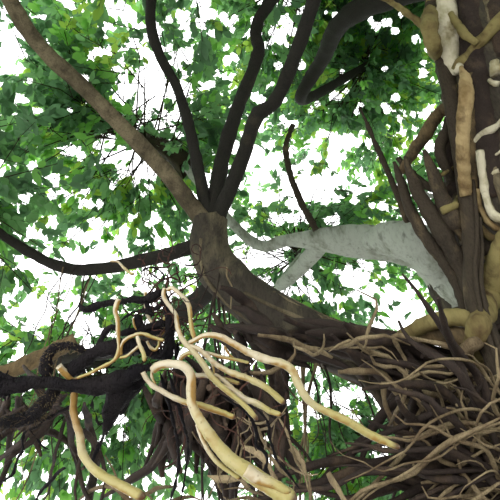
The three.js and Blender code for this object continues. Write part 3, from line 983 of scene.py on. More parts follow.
@dataclass
class GrownRoots:
    """Roots that have grown down over the trunk and along the limbs.

    A pair is a least value and how much more it may be, but limb_rib_ends is where ribs start and end.
    Tops and radii are in metres, limb_rib_radii in shares of the limb's radius, places and lengths along a
    limb in shares of it, and strays in radians.
    """

    trunk: Trunk
    skeleton: Skeleton
    seed: int = ROOT_SEED
    trunk_ribs: int = 26
    front_ribs: int = 7
    limb_ribs: int = 4
    slim_on_trunk: int = 64
    slim_on_front: int = 26
    slim_on_limb: int = 7
    rib_stray: float = 0.12
    rib_tops: Pair = (2.2, 0.6)
    rib_radii: Pair = (0.05, 0.045)
    limb_rib_stray: float = 0.5
    limb_rib_radii: Pair = (0.22, 0.14)
    limb_rib_ends: Pair = (0.02, 0.97)
    limb_rib_sunk: float = 0.62
    slim_stray: float = 0.25
    slim_tops: Pair = (1.4, 1.35)
    slim_radii: Pair = (0.012, 0.022)
    front_starts: Pair = (0.02, 0.5)
    front_lengths: Pair = (0.35, 0.4)
    front_radii: Pair = (0.012, 0.028)
    limb_starts: Pair = (0.05, 0.4)
    limb_length: float = 0.5
    limb_radius: float = 0.014
    last: float = 0.98
    sway: float = 0.16
    stops: int = 9
    knots: float = 0.12

    def down_trunk(self, azimuth: float, top: float, k: int, thick: float) -> Strand:
        """A root that clings to the trunk from a height down to the ground, swaying as it goes."""
        points = []
        for i in range(self.stops):
            share = i / (self.stops - 1)
            height = top * (1 - share) + 0.02
            sway = self.sway * ripple(share * 2.2, k * 3.1, 0.0)
            lift = thick * (0.5 * chance(self.seed, k * 10 + i) - 0.35)
            points.append(self.trunk.surface(azimuth + sway * (1 - 0.3 * share), height, lift))
        return Strand(Path.through(points), (thick * 0.8, thick, thick * 1.25), self.knots, k)

    def along_limb(
        self, limb: Limb, angle: float, start: float, end: float, k: int, thick: float, sunk: float = 0.2
    ) -> Strand:
        """A root that clings to a limb, winding slowly round it, sunk into it by a share of its radius."""
        path = self.skeleton.paths[limb.name]
        points = []
        for i in range(7):
            share = start + (end - start) * i / 6
            axis = path.tangent(share)
            side = axis.cross(UP).normalized()
            turn = angle + 0.5 * ripple(share * 3, k * 1.7, 4.0)
            out = Quaternion(axis, turn) @ side
            points.append(path.at(share) + out * (along(limb.radii, share) - thick * sunk))
        return Strand(Path.through(points), (thick, thick * 0.9, thick * 0.7), self.knots, k)

    def ribs(self) -> list[Strand]:
        """The thick roots that are fused into the skin."""
        made = []
        for k in range(self.trunk_ribs):
            azimuth = drawn((math.tau * k / self.trunk_ribs, self.rib_stray), self.seed, k)
            top = drawn(self.rib_tops, self.seed + 1, k)
            made.append(self.down_trunk(azimuth, top, k, drawn(self.rib_radii, self.seed + 2, k)))
        for n, limb in enumerate(LIMBS):
            count = self.limb_ribs if n else self.front_ribs
            for k in range(count):
                angle = drawn((math.tau * k / count, self.limb_rib_stray), self.seed + 3, k + 9 * n)
                thick = along(limb.radii, 0.5) * drawn(self.limb_rib_radii, self.seed + 4, k)
                number = 100 + 10 * n + k
                rib = self.along_limb(limb, angle, *self.limb_rib_ends, number, thick, self.limb_rib_sunk)
                made.append(rib)
        return made

    def strands(self) -> list[Strand]:
        """The slim roots that stand out of the skin."""
        made = []
        for k in range(self.slim_on_trunk):
            azimuth = drawn((math.tau * k / self.slim_on_trunk, self.slim_stray), self.seed + 5, k)
            top = drawn(self.slim_tops, self.seed + 6, k)
            thick = drawn(self.slim_radii, self.seed + 7, k, power=2)
            made.append(self.down_trunk(azimuth, top, 200 + k, thick))
        front = LIMBS[0]
        for k in range(self.slim_on_front):
            start = drawn(self.front_starts, self.seed + 8, k)
            end = min(self.last, start + drawn(self.front_lengths, self.seed + 9, k))
            angle = math.tau * k / self.slim_on_front
            thick = drawn(self.front_radii, self.seed + 10, k, power=2)
            made.append(self.along_limb(front, angle, start, end, 300 + k, thick))
        for n, limb in enumerate(LIMBS[1:]):
            for k in range(self.slim_on_limb):
                start = drawn(self.limb_starts, self.seed + 11, k + self.slim_on_limb * n)
                end = min(self.last, start + self.limb_length)
                angle = math.tau * k / self.slim_on_limb
                number = 400 + 10 * n + k
                made.append(self.along_limb(limb, angle, start, end, number, self.limb_radius))
        return made

    def build(self) -> Object:
        """The slim roots as one piece."""
        return object_of("clinging_roots", strands_mesh(self.strands(), step=0.03, sides=8))


# Boughs


@dataclass
class BoughWood:
    """The boughs, each one tapering limb with a knobbly skin."""

    skeleton: Skeleton
    knots: float = 0.07
    sides: int = 14
    step: float = 0.045

    def build(self, name: str, chosen: Sequence[str]) -> Object:
        """Some of the boughs as one piece."""
        parts = []
        for k, bough in enumerate(b for b in BOUGHS if b.name in chosen):
            strand = Strand(self.skeleton.paths[bough.name], bough.radii, self.knots, k)
            parts.append(swept(strand.path, strand.radius, self.sides, self.step))
        mesh = joined(parts)
        relief(mesh, depth=0.006, size=(0.08, 0.08, 0.08), seed=5.0)
        return object_of(name, mesh)


GREY_BOUGHS = ("bough_pale", "bough_pale_fork")
TAN_BOUGHS = ("bough_front_left",)
DARK_BOUGHS = tuple(b.name for b in BOUGHS if b.name not in GREY_BOUGHS + TAN_BOUGHS)
BOUGH_PIECES = (
    ("boughs_grey", GREY_BOUGHS, GREY_BARK),
    ("boughs_tan", TAN_BOUGHS, TAN_BARK),
    ("boughs_dark", DARK_BOUGHS, DARK_BARK),
)


# Foliage


def turned(vectors: Rows, axes: Rows, angles: Rows) -> Rows:
    """Vectors turned about axes, row by row."""
    cos, sin = np.cos(angles)[:, None], np.sin(angles)[:, None]
    dot = np.sum(vectors * axes, axis=1, keepdims=True)
    return vectors * cos + np.cross(axes, vectors) * sin + axes * dot * (1 - cos)


def unit(vectors: Rows) -> Rows:
    """Vectors of length one, row by row."""
    return vectors / np.maximum(np.linalg.norm(vectors, axis=1, keepdims=True), 1e-9)


@dataclass(frozen=True)
class SkyWindow:
    """A part of the picture where sky or far leaves show, and how open it is."""

    across: float
    down: float
    wide: float
    high: float
    open: float

    def shows(self, across: float, down: float) -> bool:
        """Whether a point of the picture lies in it."""
        return math.hypot((across - self.across) / self.wide, (down - self.down) / self.high) < 1


SKY = tuple(SkyWindow(*row) for row in (
    (150, 82, 36, 40, 0.9), (175, 55, 18, 12, 0.6), (140, 168, 26, 24, 0.9), (185, 115, 18, 22, 0.4),
    (248, 156, 34, 22, 0.7), (306, 188, 50, 32, 0.8), (338, 142, 26, 20, 0.75), (264, 258, 32, 20, 0.95),
    (300, 290, 26, 18, 0.5), (352, 280, 36, 18, 0.75), (414, 302, 20, 10, 0.3), (75, 236, 46, 16, 0.45),
    (80, 262, 62, 18, 0.45), (42, 308, 46, 24, 0.6), (92, 330, 22, 14, 0.8), (10, 42, 22, 26, 0.7),
    (130, 14, 14, 12, 0.9), (200, 22, 20, 20, 0.5), (280, 35, 22, 34, 0.5), (385, 22, 14, 14, 0.6),
    (335, 398, 56, 28, 0.55), (118, 415, 22, 26, 0.4),
))


@dataclass
class Gaps:
    """The picture's sky windows and small round gaps between leaves, as one chart."""

    margin: int = 40
    small: int = 560
    size: Pair = (2.0, 4.2)
    open_middle: float = 0.45
    area_a_gap: float = 24
    ring: Pair = (0.3, 1.2)
    nearest: float = 0.3
    seed: int = 5
    chart: Rows = field(init=False)

    def __post_init__(self) -> None:
        """Marks the gaps: everywhere a few, round each window many, and its open middle."""
        side = int(EYE.picture) + 2 * self.margin
        self.chart = np.zeros((side, side), dtype=bool)
        rng = default_rng(self.seed)
        for across, down in rng.uniform(-self.margin, side - self.margin, (self.small, 2)):
            self.mark(across, down, rng.uniform(*self.size), 1.0)
        for window in SKY:
            middle = window.wide * window.open * self.open_middle
            self.mark(window.across, window.down, middle, window.high / window.wide)
            for _ in range(int(window.open * window.wide * window.high / self.area_a_gap)):
                turn, out = rng.uniform(0, math.tau), rng.uniform(*self.ring)
                across = window.across + math.cos(turn) * out * window.wide
                down = window.down + math.sin(turn) * out * window.high
                self.mark(across, down, rng.uniform(*self.size), 1.0)

    def mark(self, across: float, down: float, radius: float, squash: float) -> None:
        """Marks an oval of the chart."""
        rows, columns = np.ogrid[: self.chart.shape[0], : self.chart.shape[1]]
        aside, below = columns - across - self.margin, rows - down - self.margin
        self.chart |= (aside / radius) ** 2 + (below / (radius * squash)) ** 2 < 1

    def met(self, places: Rows) -> Rows:
        """Which places are seen in a gap."""
        across, down, depth = EYE.picture_of(places.reshape(-1, 3))
        side = self.chart.shape[0]
        column = np.clip(across + self.margin, 0, side - 1).astype(int)
        row = np.clip(down + self.margin, 0, side - 1).astype(int)
        seen = (column > 0) & (column < side - 1) & (row > 0) & (row < side - 1) & (depth > self.nearest)
        return (self.chart[row, column] & seen).reshape(places.shape[:-1])


@dataclass
class Foliage:
    """Twigs and leaves of all masses, grown by one seeded rule."""

    skeleton: Skeleton
    branches: int = 48
    side_twigs: int = 4
    sprays: int = 5
    leaves: int = 8
    spill: float = 0.26
    branch_room: float = 0.12
    twig_room: float = 0.1
    spray_room: float = 0.05
    twig_sag: float = 0.06
    spray_droop: float = 0.15
    leaf_droop: float = 0.35
    seed: int = 41
    leaf_length: float = 0.135
    leaf_width: float = 0.52
    leaf_area: float = 0.4
    stem_radius: float = 0.016
    branch_radii: Triple = (0.013, 0.008, 0.004)
    twig_radii: Pair = (0.006, 0.003)
    spray_radii: Pair = (0.0025, 0.0015)
    filled_radii: Pair = (0.003, 0.002)
    leaf_spread: Pair = (0.65, 1.15)
    spray_length: Pair = (0.16, 0.30)
    twig_length: Pair = (0.35, 0.9)
    branch_reach: Pair = (0.45, 0.93)
    depths: Pair = (2.4, 10.0)
    tone_edges: Floats = (0.38, 0.74, 0.96)
    gaps: Gaps = field(default_factory=Gaps)
    wood: list[tuple[Rows, ...]] = field(default_factory=list)
    blades: list[tuple[Rows, ...]] = field(default_factory=list)

    def add_wood(self, starts: Rows, ends: Rows, thick: float, thin: float) -> None:
        """Keeps tapering three-sided twigs from starts to ends."""
        count = len(starts)
        self.wood.append((starts, ends, np.full(count, thick), np.full(count, thin)))

    @staticmethod
    def shoots(starts: Rows, ends: Rows, count: int, shares: Pair, rng: Generator) -> tuple[Rows, Rows]:
        """Places along twigs and headings that turn away from them.

        Args:
            starts: Where the twigs start.
            ends: Where they end.
            count: How many shoots each twig has.
            shares: The first and last place along a twig.
            rng: The source of choices.

        Returns:
            The places and the unit headings.
        """
        n = len(starts)
        share = np.tile(np.linspace(*shares, count), n) + rng.uniform(-0.05, 0.05, n * count)
        share = np.clip(share, 0, 1)[:, None]
        first, last = np.repeat(starts, count, axis=0), np.repeat(ends, count, axis=0)
        ahead = unit(last - first)
        lean = rng.uniform(0.6, 1.25, n * count) * np.where(share[:, 0] > 0.97, 0.25, 1.0)
        axis = unit(np.cross(ahead, unit(rng.normal(size=ahead.shape))))
        return first + (last - first) * share, turned(ahead, axis, lean)

    def grow(self, bough: Bough, seed: int) -> None:
        """Grows one mass on from its bough's tip."""
        k = self.skeleton.names.index(bough.mass)
        rng = default_rng(FOLIAGE_SEED + seed)
        middle = self.skeleton.middles[k]
        path = self.skeleton.paths[bough.name]
        tip, ahead = path.at(1.0), path.tangent(0.98)
        heart = Vector(middle).lerp(tip, -0.12)
        stem = Path.bend(tip - ahead * 0.05, tip + ahead * ((heart - tip).length / 3), heart)
        joints = stem.sample(np.linspace(0, 1, 7))
        radii = np.linspace(bough.radii[1], self.stem_radius, 7)
        for a, b, thick, thin in zip(joints, joints[1:], radii, radii[1:]):
            self.add_wood(a[None], b[None], thick, thin)
        ends = self.branch_ends(k, rng)
        starts = stem.sample(rng.uniform(0.15, 1.0, len(ends)))
        knees = (starts + ends) / 2 + rng.normal(size=ends.shape) * 0.12 + UPWARD * 0.08
        self.add_wood(starts, knees, *self.branch_radii[:2])
        bare = self.gaps.met(ends)
        self.add_wood(knees[~bare], ends[~bare], *self.branch_radii[1:])
        firsts = np.vstack([knees, starts + (knees - starts) * 0.35])
        lasts = np.vstack([ends, knees])
        roots, ways = self.shoots(firsts, lasts, self.side_twigs, (0.15, 0.97), rng)
        tips = roots + ways * rng.uniform(*self.twig_length, len(roots))[:, None]
        tips[:, 2] -= self.twig_sag
        keep = self.skeleton.inside(k, tips, self.twig_room - self.spill)
        keep &= ~self.gaps.met(tips) & ~self.gaps.met((roots + tips) / 2)
        roots, tips = roots[keep], tips[keep]
        self.add_wood(roots, tips, *self.twig_radii)
        self.grow_sprays(k, roots, tips, rng)

    def branch_ends(self, k: int, rng: Generator) -> Rows:
        """Where a mass's branches end, evenly round it and inside its space."""
        i = np.arange(self.branches)
        height = 1 - (2 * i + 1) / self.branches
        level = np.sqrt(1 - height**2)
        turn = i * math.pi * (3 - math.sqrt(5)) + rng.uniform(0, math.tau)
        aim = np.stack([level * np.cos(turn), level * np.sin(turn), height], axis=1)
        share = rng.uniform(*self.branch_reach, self.branches)
        for _ in range(12):
            ends = self.skeleton.middles[k] + aim * self.skeleton.reaches[k] * share[:, None]
            share = np.where(self.skeleton.inside(k, ends, self.branch_room), share, share * 0.92)
        return self.skeleton.middles[k] + aim * self.skeleton.reaches[k] * share[:, None]

    def grow_sprays(self, k: int, roots: Rows, tips: Rows, rng: Generator) -> None:
        """Grows sprays of leaves along side twigs."""
        bases, ways = self.shoots(roots, tips, self.sprays, (0.25, 1.0), rng)
        ways = unit(ways - UPWARD * self.spray_droop)
        ends = bases + ways * rng.uniform(*self.spray_length, len(bases))[:, None]
        keep = self.skeleton.inside(k, ends, self.spray_room - self.spill)
        self.leaf_out(bases[keep], ends[keep], k, rng)

    def leaf_out(self, bases: Rows, ends: Rows, k: int, rng: Generator) -> None:
        """Sets leaves along sprays, except where the picture has a gap."""
        shown = ~self.gaps.met(ends) & ~self.gaps.met((bases + ends) / 2)
        self.add_wood(bases[shown], ends[shown], *self.spray_radii)
        count = len(bases)
        share = np.tile(np.linspace(0.2, 1.0, self.leaves), count)[:, None]
        first, last = np.repeat(bases, self.leaves, axis=0), np.repeat(ends, self.leaves, axis=0)
        ahead = unit(last - first)
        place = first + (last - first) * share
        upright = unit(rng.normal(size=ahead.shape) * 0.55 + UPWARD)
        side = np.tile(np.where(np.arange(self.leaves) % 2, 1.0, -1.0), count)
        lean = side * rng.uniform(0.5, 1.2, len(place)) * np.where(share[:, 0] > 0.95, 0.15, 1.0)
        way = turned(ahead, upright, lean)
        way = unit(way - UPWARD * self.leaf_droop * rng.uniform(0.2, 1.6, len(way))[:, None])
        length = self.leaf_length * rng.uniform(*self.leaf_spread, len(way))
        fits = self.skeleton.inside(k, place + way * length[:, None], -self.spill)
        across = unit(np.cross(way, upright)) * self.leaf_width / 2
        # Places on a leaf, along it and across it
        for share, out in ((0.1, 0), (0.35, 0.9), (0.35, -0.9), (0.5, 0), (0.7, 0.8), (0.7, -0.8), (1, 0)):
            fits &= ~self.gaps.met(place + (way * share + across * out) * length[:, None])
        tone = np.repeat(self.tones(ends, rng), self.leaves)
        self.blades.append((place[fits], way[fits], upright[fits], length[fits], tone[fits]))

    def fill(self, cell: float = 12.0, wanted: float = 2.6, tries: int = 24, typical: float = 5.0) -> None:
        """Adds sprays where the picture is to show leaves and few have grown, each from the nearest twig.

        Args:
            cell: The side of a square of the picture in which leaves are counted, in pixels.
            wanted: How many leaves are to lie over a place of the picture on average.
            tries: How many places along a sight line are tried.
            typical: The depth at which a spray's size in the picture is taken, in metres.
        """
        rng = default_rng(self.seed)
        across, down, depth = EYE.picture_of(np.concatenate([blade[0] for blade in self.blades]))
        ahead = depth > 0.5
        stops = np.arange(-24.0, EYE.picture + 25.0, cell)
        area = (EYE.focal * self.leaf_length / depth[ahead]) ** 2 * self.leaf_width * self.leaf_area
        cover, *_ = np.histogram2d(across[ahead], down[ahead], bins=(stops, stops), weights=area / cell**2)
        length = EYE.focal * self.leaf_length / typical
        spray = self.leaves * length**2 * self.leaf_width * self.leaf_area
        counts = rng.poisson(np.maximum(wanted - cover, 0.0) * cell**2 / spray)
        cells = np.repeat(np.argwhere(counts > 0), counts[counts > 0], axis=0)
        spots = stops[0] + (cells + rng.random(cells.shape)) * cell
        ways = np.array([EYE.point(*spot, 1.0) - EYE.place for spot in spots])
        rays = np.array(EYE.place) + ways[:, None] * rng.uniform(*self.depths, (len(spots), tries, 1))
        flat = rays.reshape(-1, 3)
        masses = range(len(self.skeleton.names))
        held = np.stack([self.skeleton.inside(k, flat, self.twig_room) for k in masses])
        held = held.reshape(-1, len(spots), tries)
        row = np.arange(len(spots))
        first = held.any(axis=0).argmax(axis=1)
        chosen, mass = rays[row, first], held[:, row, first].argmax(axis=0)
        fine = held[:, row, first].any(axis=0) & ~self.gaps.met(chosen)
        twig_ends = np.concatenate([wood[1] for wood in self.wood])
        tree = KDTree(len(twig_ends))
        for i, place in enumerate(twig_ends):
            tree.insert(place, i)
        tree.balance()
        log.info("%d sprays filled in, %d have no mass", fine.sum(), (~held.any(axis=(0, 2))).sum())
        for k in np.unique(mass[fine]):
            ends = chosen[fine & (mass == k)]
            near = np.array([tree.find(end)[0] for end in ends])
            gap = np.linalg.norm(ends - near, axis=1)[:, None]
            bases = ends + (near - ends) * np.minimum(0.25 / np.maximum(gap, 0.01), 0.9)
            self.add_wood(near, bases, *self.filled_radii)
            self.leaf_out(bases, ends, int(k), rng)

    def tones(self, places: Rows, rng: Generator) -> Rows:
        """The index of each spray's green, partly at random: deeper inside and below as painted shade,
        brighter above and outside as painted light.
        """
        out = np.linalg.norm(places / CROWN_REACH, axis=1)
        patch = np.array([noise.noise(Vector(p) * 1.3) for p in places])
        # Painted shade and light: sprays further out and higher get brighter greens, on top of the random
        # choice
        luck = rng.random(len(places)) + (out - 0.75) * 0.5 + patch * 0.5
        return np.digitize(luck, self.tone_edges)

    def leaf_mesh(self, tint: LeafTint, span: tuple[int, int]) -> Mesh:
        """The leaves of one green in some of the masses, folded along the midrib and drooping at the tip."""
        tone = list(LeafTint).index(tint)
        place, way, upright, length, tones = (np.concatenate(c) for c in zip(*self.blades[slice(*span)]))
        mine = tones == tone
        place, way, upright, length = place[mine], way[mine], upright[mine], length[mine][:, None, None]
        side = unit(np.cross(way, upright))
        face = np.cross(side, way)
        half = self.leaf_width / 2
        # Along the leaf, across it and above it, as shares of the length
        low, high = half * 0.88, half * 0.84
        outline = np.array([(0, 0, 0), (0.26, low, 0.02), (0.26, -low, 0.02),
                            (0.64, high, -0.01), (0.64, -high, -0.01), (1, 0, -0.15)])
        axes = np.stack([way, side, face], axis=1)
        verts = place[:, None, :] + length * np.einsum("pk,nkd->npd", outline, axes)
        faces = np.array([(0, 1, 2), (1, 3, 2), (2, 3, 4), (3, 5, 4)])
        index = faces[None] + (np.arange(len(place)) * len(outline))[:, None, None]
        return array_mesh("leaves", verts.reshape(-1, 3), index.reshape(-1, 3))

    def wood_mesh(self, span: tuple[int, int]) -> Mesh:
        """Some of the twigs as three-sided tapering prisms, their open ends hidden in wood or leaves."""
        starts, ends, thick, thin = (np.concatenate(c) for c in zip(*self.wood[slice(*span)]))
        ahead = unit(ends - starts)
        side = unit(np.cross(ahead, np.where(np.abs(ahead[:, 2:]) > 0.9, [[1.0, 0, 0]], [[0, 0, 1.0]])))
        other = np.cross(ahead, side)
        rings = []
        for places, radius in ((starts, thick), (ends, thin)):
            for i in range(3):
                turn = math.tau * i / 3
                rings.append(places + (side * math.cos(turn) + other * math.sin(turn)) * radius[:, None])
        verts = np.stack(rings, axis=1)
        walls = [((i, (i + 1) % 3, 3 + i), ((i + 1) % 3, 3 + (i + 1) % 3, 3 + i)) for i in range(3)]
        faces = np.array([f for pair in walls for f in pair])
        index = faces[None] + (np.arange(len(starts)) * 6)[:, None, None]
        return array_mesh("twigs", verts.reshape(-1, 3), index.reshape(-1, 3))

    def build(self) -> dict[str, Object]:
        """Grows every mass and makes the pieces: two of twigs, and two of leaves for each green."""
        half = len(BOUGHS) // 2
        woods = 0
        for seed, bough in enumerate(BOUGHS):
            self.grow(bough, seed)
            woods = len(self.wood) if seed < half else woods
        self.fill()
        made = {}
        for part, span in enumerate(((0, woods), (woods, len(self.wood)))):
            made[f"twigs_{part + 1}"] = object_of(f"twigs_{part + 1}", self.wood_mesh(span))
        for tint in LeafTint:
            for part, span in enumerate(((0, half), (half, len(self.blades)))):
                name = f"leaves_{tint.name.lower()}_{part + 1}"
                made[name] = object_of(name, self.leaf_mesh(tint, span))
        return made


# Aerial roots


@dataclass
class StandingRoots:
    """Aerial roots that have reached the ground, with slim ones wound round them.

    Each has its radii and the points that it passes: azimuth, distance from the trunk's axis and height.
    The winding ones start and end at shares of it, each a least value and how much more it may be.
    """

    ways: tuple = (
        ((0.040, 0.038, 0.044, 0.060),
         ((258.7, 1.225, 4.50), (251.6, 1.222, 4.20), (248, 1.025, 3.75), (242.5, 0.834, 3.35),
          (234.4, 0.738, 2.95), (226.6, 0.757, 2.50), (228, 0.75, 1.30), (228, 1.18, 0))),
        ((0.036, 0.058), ((277, 1.13, 4.2), (280, 1.24, 3.5), (268, 0.9, 1.5), (262, 1.18, 0))),
        ((0.018, 0.028, 0.050), ((176, 0.93, 2.9), (192, 0.80, 2.35), (203, 0.76, 1.3), (206, 1.13, 0))),
        ((0.04, 0.06), ((352, 1.35, 3.12), (340, 1.05, 2.1), (332, 0.86, 1.15), (328, 1.12, 0))),
        ((0.04, 0.06), ((61, 1.08, 3.12), (82, 0.98, 2.3), (96, 0.85, 1.2), (105, 1.12, 0))),
    )
    winders: int = 3
    winder_starts: Pair = (0.05, 0.3)
    winder_ends: Pair = (0.75, 0.2)
    winder_radii: Floats = (0.007, 0.010, 0.006)
    winder_steps: int = 13
    winder_turn: float = 5.5
    seed: int = 71

    def build(self) -> Object:
        """All of them as one piece."""
        strands = []
        for k, (radii, way) in enumerate(self.ways):
            points = [heading(azimuth, 0) * out + UP * up for azimuth, out, up in way]
            points[-1:] = [points[-1] + UP * 0.18, points[-1]]
            main = Path.through(points)
            strands.append(Strand(main, radii, 0.1, k))
            for j in range(self.winders):
                strands.append(self.winder(main, radii[0], k * 5 + j))
        mesh = strands_mesh(strands, step=0.03, sides=10)
        Trunk.cut_flat(mesh, depth=0.0)
        return object_of("standing_roots", mesh)

    def winder(self, main: Path, thick: float, k: int) -> Strand:
        """A slim root that winds slowly round a main one."""
        start, end = drawn(self.winder_starts, self.seed, k), drawn(self.winder_ends, self.seed + 1, k)
        points = []
        for i in range(self.winder_steps + 1):
            share = start + (end - start) * i / self.winder_steps
            axis = main.tangent(share)
            turn = 2.2 * chance(self.seed + 2, k) * math.tau + share * self.winder_turn
            out = Quaternion(axis, turn) @ axis.orthogonal().normalized()
            points.append(main.at(share) + out * thick * 1.05)
        return Strand(Path.through(points, 4), self.winder_radii, 0.1, k)


@dataclass
class HangingRoots:
    """Tassels and fringes under the limbs, and the thickets that cross parts of the picture."""

    skeleton: Skeleton
    tassels: tuple = (
        ("limb_left", 0.5, 1.35),
        ("limb_left", 0.84, 1.5),
        ("bough_left", 0.45, 1.7),
        ("limb_right", 0.72, 1.4),
        ("limb_back_right", 0.7, 1.5),
        ("limb_front_right", 0.72, 1.35),
    )
    fringes: tuple = (
        ("limb_left", 10, 0.6),
        ("limb_back_right", 30, 1.0),
        ("limb_right", 30, 1.0),
        ("limb_front_right", 30, 1.0),
        ("limb_back_left", 24, 1.0),
    )
    roots_a_tassel: int = 8
    tassel_radii: Pair = (0.003, 0.009)
    fringe_radii: Pair = (0.002, 0.0075)
    lit_share: float = 0.3

    @staticmethod
    def hanging(top: Vector, drop: float, drift: Vector, thick: float, rng: Generator) -> Strand:
        """A root that hangs from a point, wandering as it goes down."""
        count = max(5, int(drop / 0.12))
        points = [top]
        sway = Vector((0.0, 0.0, 0.0))
        for i in range(1, count + 1):
            sway += Vector((rng.normal(0, 0.016), rng.normal(0, 0.016), 0.0))
            points.append(top - UP * drop * (i / count) + drift * (i / count) + sway)
        return Strand(Path.through(points, 4), (thick, thick * 0.8, thick * 0.35), 0.15, rng.random() * 99)

    def build_tassels(self, rng: Generator) -> list[Strand]:
        """Bundles that hang from limbs all round the tree."""
        made = []
        for limb, share, drop in self.tassels:
            top = self.skeleton.paths[limb].at(share)
            for _ in range(self.roots_a_tassel):
                spot = top + Vector((rng.normal(0, 0.05), rng.normal(0, 0.05), 0.0))
                drift = Vector((rng.normal(0, 0.10), rng.normal(0, 0.10), 0.0))
                length = drop * rng.uniform(0.45, 0.98)
                made.append(self.hanging(spot, length, drift, rng.uniform(*self.tassel_radii), rng))
        return made

    def fringe(self, rng: Generator) -> list[Strand]:
        """Slim roots along the underside of limbs all round the tree."""
        made = []
        for limb, count, longest in self.fringes:
            path = self.skeleton.paths[limb]
            for _ in range(count):
                share = rng.uniform(0.2, 1.0)
                spot = path.at(share) + Vector((rng.normal(0, 0.03), rng.normal(0, 0.07), -0.02))
                drift = Vector((rng.normal(0.05, 0.16), rng.normal(0, 0.12), 0.0))
                drop = longest * rng.uniform(0.25, 1.0)
                made.append(self.hanging(spot, drop, drift, rng.uniform(*self.fringe_radii), rng))
        return made

    def build(self) -> dict[str, Object]:
        """Most of them as one dark piece, and the rest and some of the thickets' as a lighter one."""
        rng = default_rng(ROOT_SEED)
        strands = self.build_tassels(rng) + self.fringe(rng)
        sorted_strands = {False: [], True: []}
        for strand in strands:
            sorted_strands[rng.random() < self.lit_share].append(strand)
        for thicket in THICKETS:
            sorted_strands[thicket.lit] += thicket.grow(rng)
        return {
            name: object_of(f"hanging_roots_{name}", strands_mesh(sorted_strands[lit], step=0.035, sides=6))
            for name, lit in (("dark", False), ("lit", True))
        }


# Where straight up lies in the picture, above its top edge
ZENITH = np.array([250.0, -182.0])


@dataclass(frozen=True)
class Thicket:
    """Aerial roots that cross a part of the picture.

    They start on a line between two points of it, at a bearing in degrees, 0 to the right and 90 down.
    Reach and width are in pixels, depth in metres.
    """

    count: int
    line: tuple[Pair, Pair]
    bearing: float
    spread: float
    reach: Pair
    depth: Pair
    width: Pair
    droop: float = 0.05
    wander: float = 0.2
    scatter: float = 9
    steps: int = 8
    lit: bool = False

    def grow(self, rng: Generator) -> list[Strand]:
        """Makes the roots, each wandering and drooping as it goes."""
        made = []
        for _ in range(self.count):
            first, last = np.array(self.line)
            spot = first + (last - first) * rng.random()
            spot = spot + rng.normal(0, self.scatter, 2)
            way = math.radians(self.bearing + rng.normal(0, self.spread))
            stride = rng.uniform(*self.reach) / self.steps
            depths = rng.uniform(*self.depth, 3)
            points = [EYE.point(*spot, depths[0])]
            open_sky = 0
            for i in range(self.steps):
                way += rng.normal(0, self.wander)
                step = np.array([math.cos(way), math.sin(way)]) * stride
                fall = spot - ZENITH
                step += fall / np.linalg.norm(fall) * stride * self.droop * (i + 1)
                spot = spot + step
                open_sky += any(window.shows(*spot) for window in CLEARINGS)
                points.append(EYE.point(*spot, along(depths, (i + 1) / self.steps)))
            thick = rng.uniform(*self.width) * depths[1] / EYE.focal / 2
            if open_sky > rng.integers(0, 3):
                continue
            radii = (thick * 0.3, thick, thick * 0.95, thick * 0.75, thick * 0.3)
            made.append(Strand(Path.through(points, 5), radii, 0.3, rng.random() * 99))
        return made


THICKETS = (
    Thicket(46, ((116, 386), (236, 386)), 85, 25, (30, 75), (1.2, 1.6), (8, 15)),
    Thicket(40, ((212, 318), (300, 358)), 30, 14, (50, 100), (1.85, 2.15), (8, 15)),
    Thicket(30, ((285, 352), (400, 376)), 15, 14, (50, 100), (1.8, 2.05), (7, 13)),
    Thicket(60, ((235, 318), (480, 372)), 28, 18, (70, 150), (1.75, 2.05), (6, 14)),
    Thicket(70, ((162, 372), (285, 372)), 80, 20, (60, 130), (1.25, 1.7), (6, 15)),
    Thicket(40, ((400, 385), (520, 385)), 100, 40, (60, 140), (1.45, 1.7), (6, 13)),
    Thicket(60, ((515, 440), (515, 520)), 190, 25, (120, 330), (1.2, 1.5), (5, 13)),
    Thicket(34, ((0, 400), (125, 410)), 112, 34, (40, 110), (0.75, 1.1), (3, 10), wander=0.35),
    Thicket(12, ((190, 400), (300, 420)), 75, 35, (40, 100), (0.7, 1.1), (1.2, 3), wander=0.45, lit=True),
    Thicket(46, ((300, 345), (500, 395)), 55, 40, (50, 130), (1.35, 1.6), (2.2, 5.5), wander=0.45, lit=True),
    Thicket(50, ((515, 395), (515, 520)), 190, 30, (60, 240), (1.1, 1.4), (2.2, 5.5), wander=0.4, lit=True),
    Thicket(24, ((140, 500), (330, 480)), 200, 70, (40, 110), (0.8, 1.1), (2.5, 6), wander=0.35, lit=True),
)
CLEARINGS = tuple(SkyWindow(*row) for row in (
    (335, 402, 54, 40, 0.8), (126, 424, 30, 40, 0.8), (190, 478, 18, 26, 0.8), (32, 462, 20, 18, 0.8),
    (380, 452, 14, 12, 0.8), (436, 475, 12, 8, 0.8), (494, 418, 10, 24, 0.8),
))


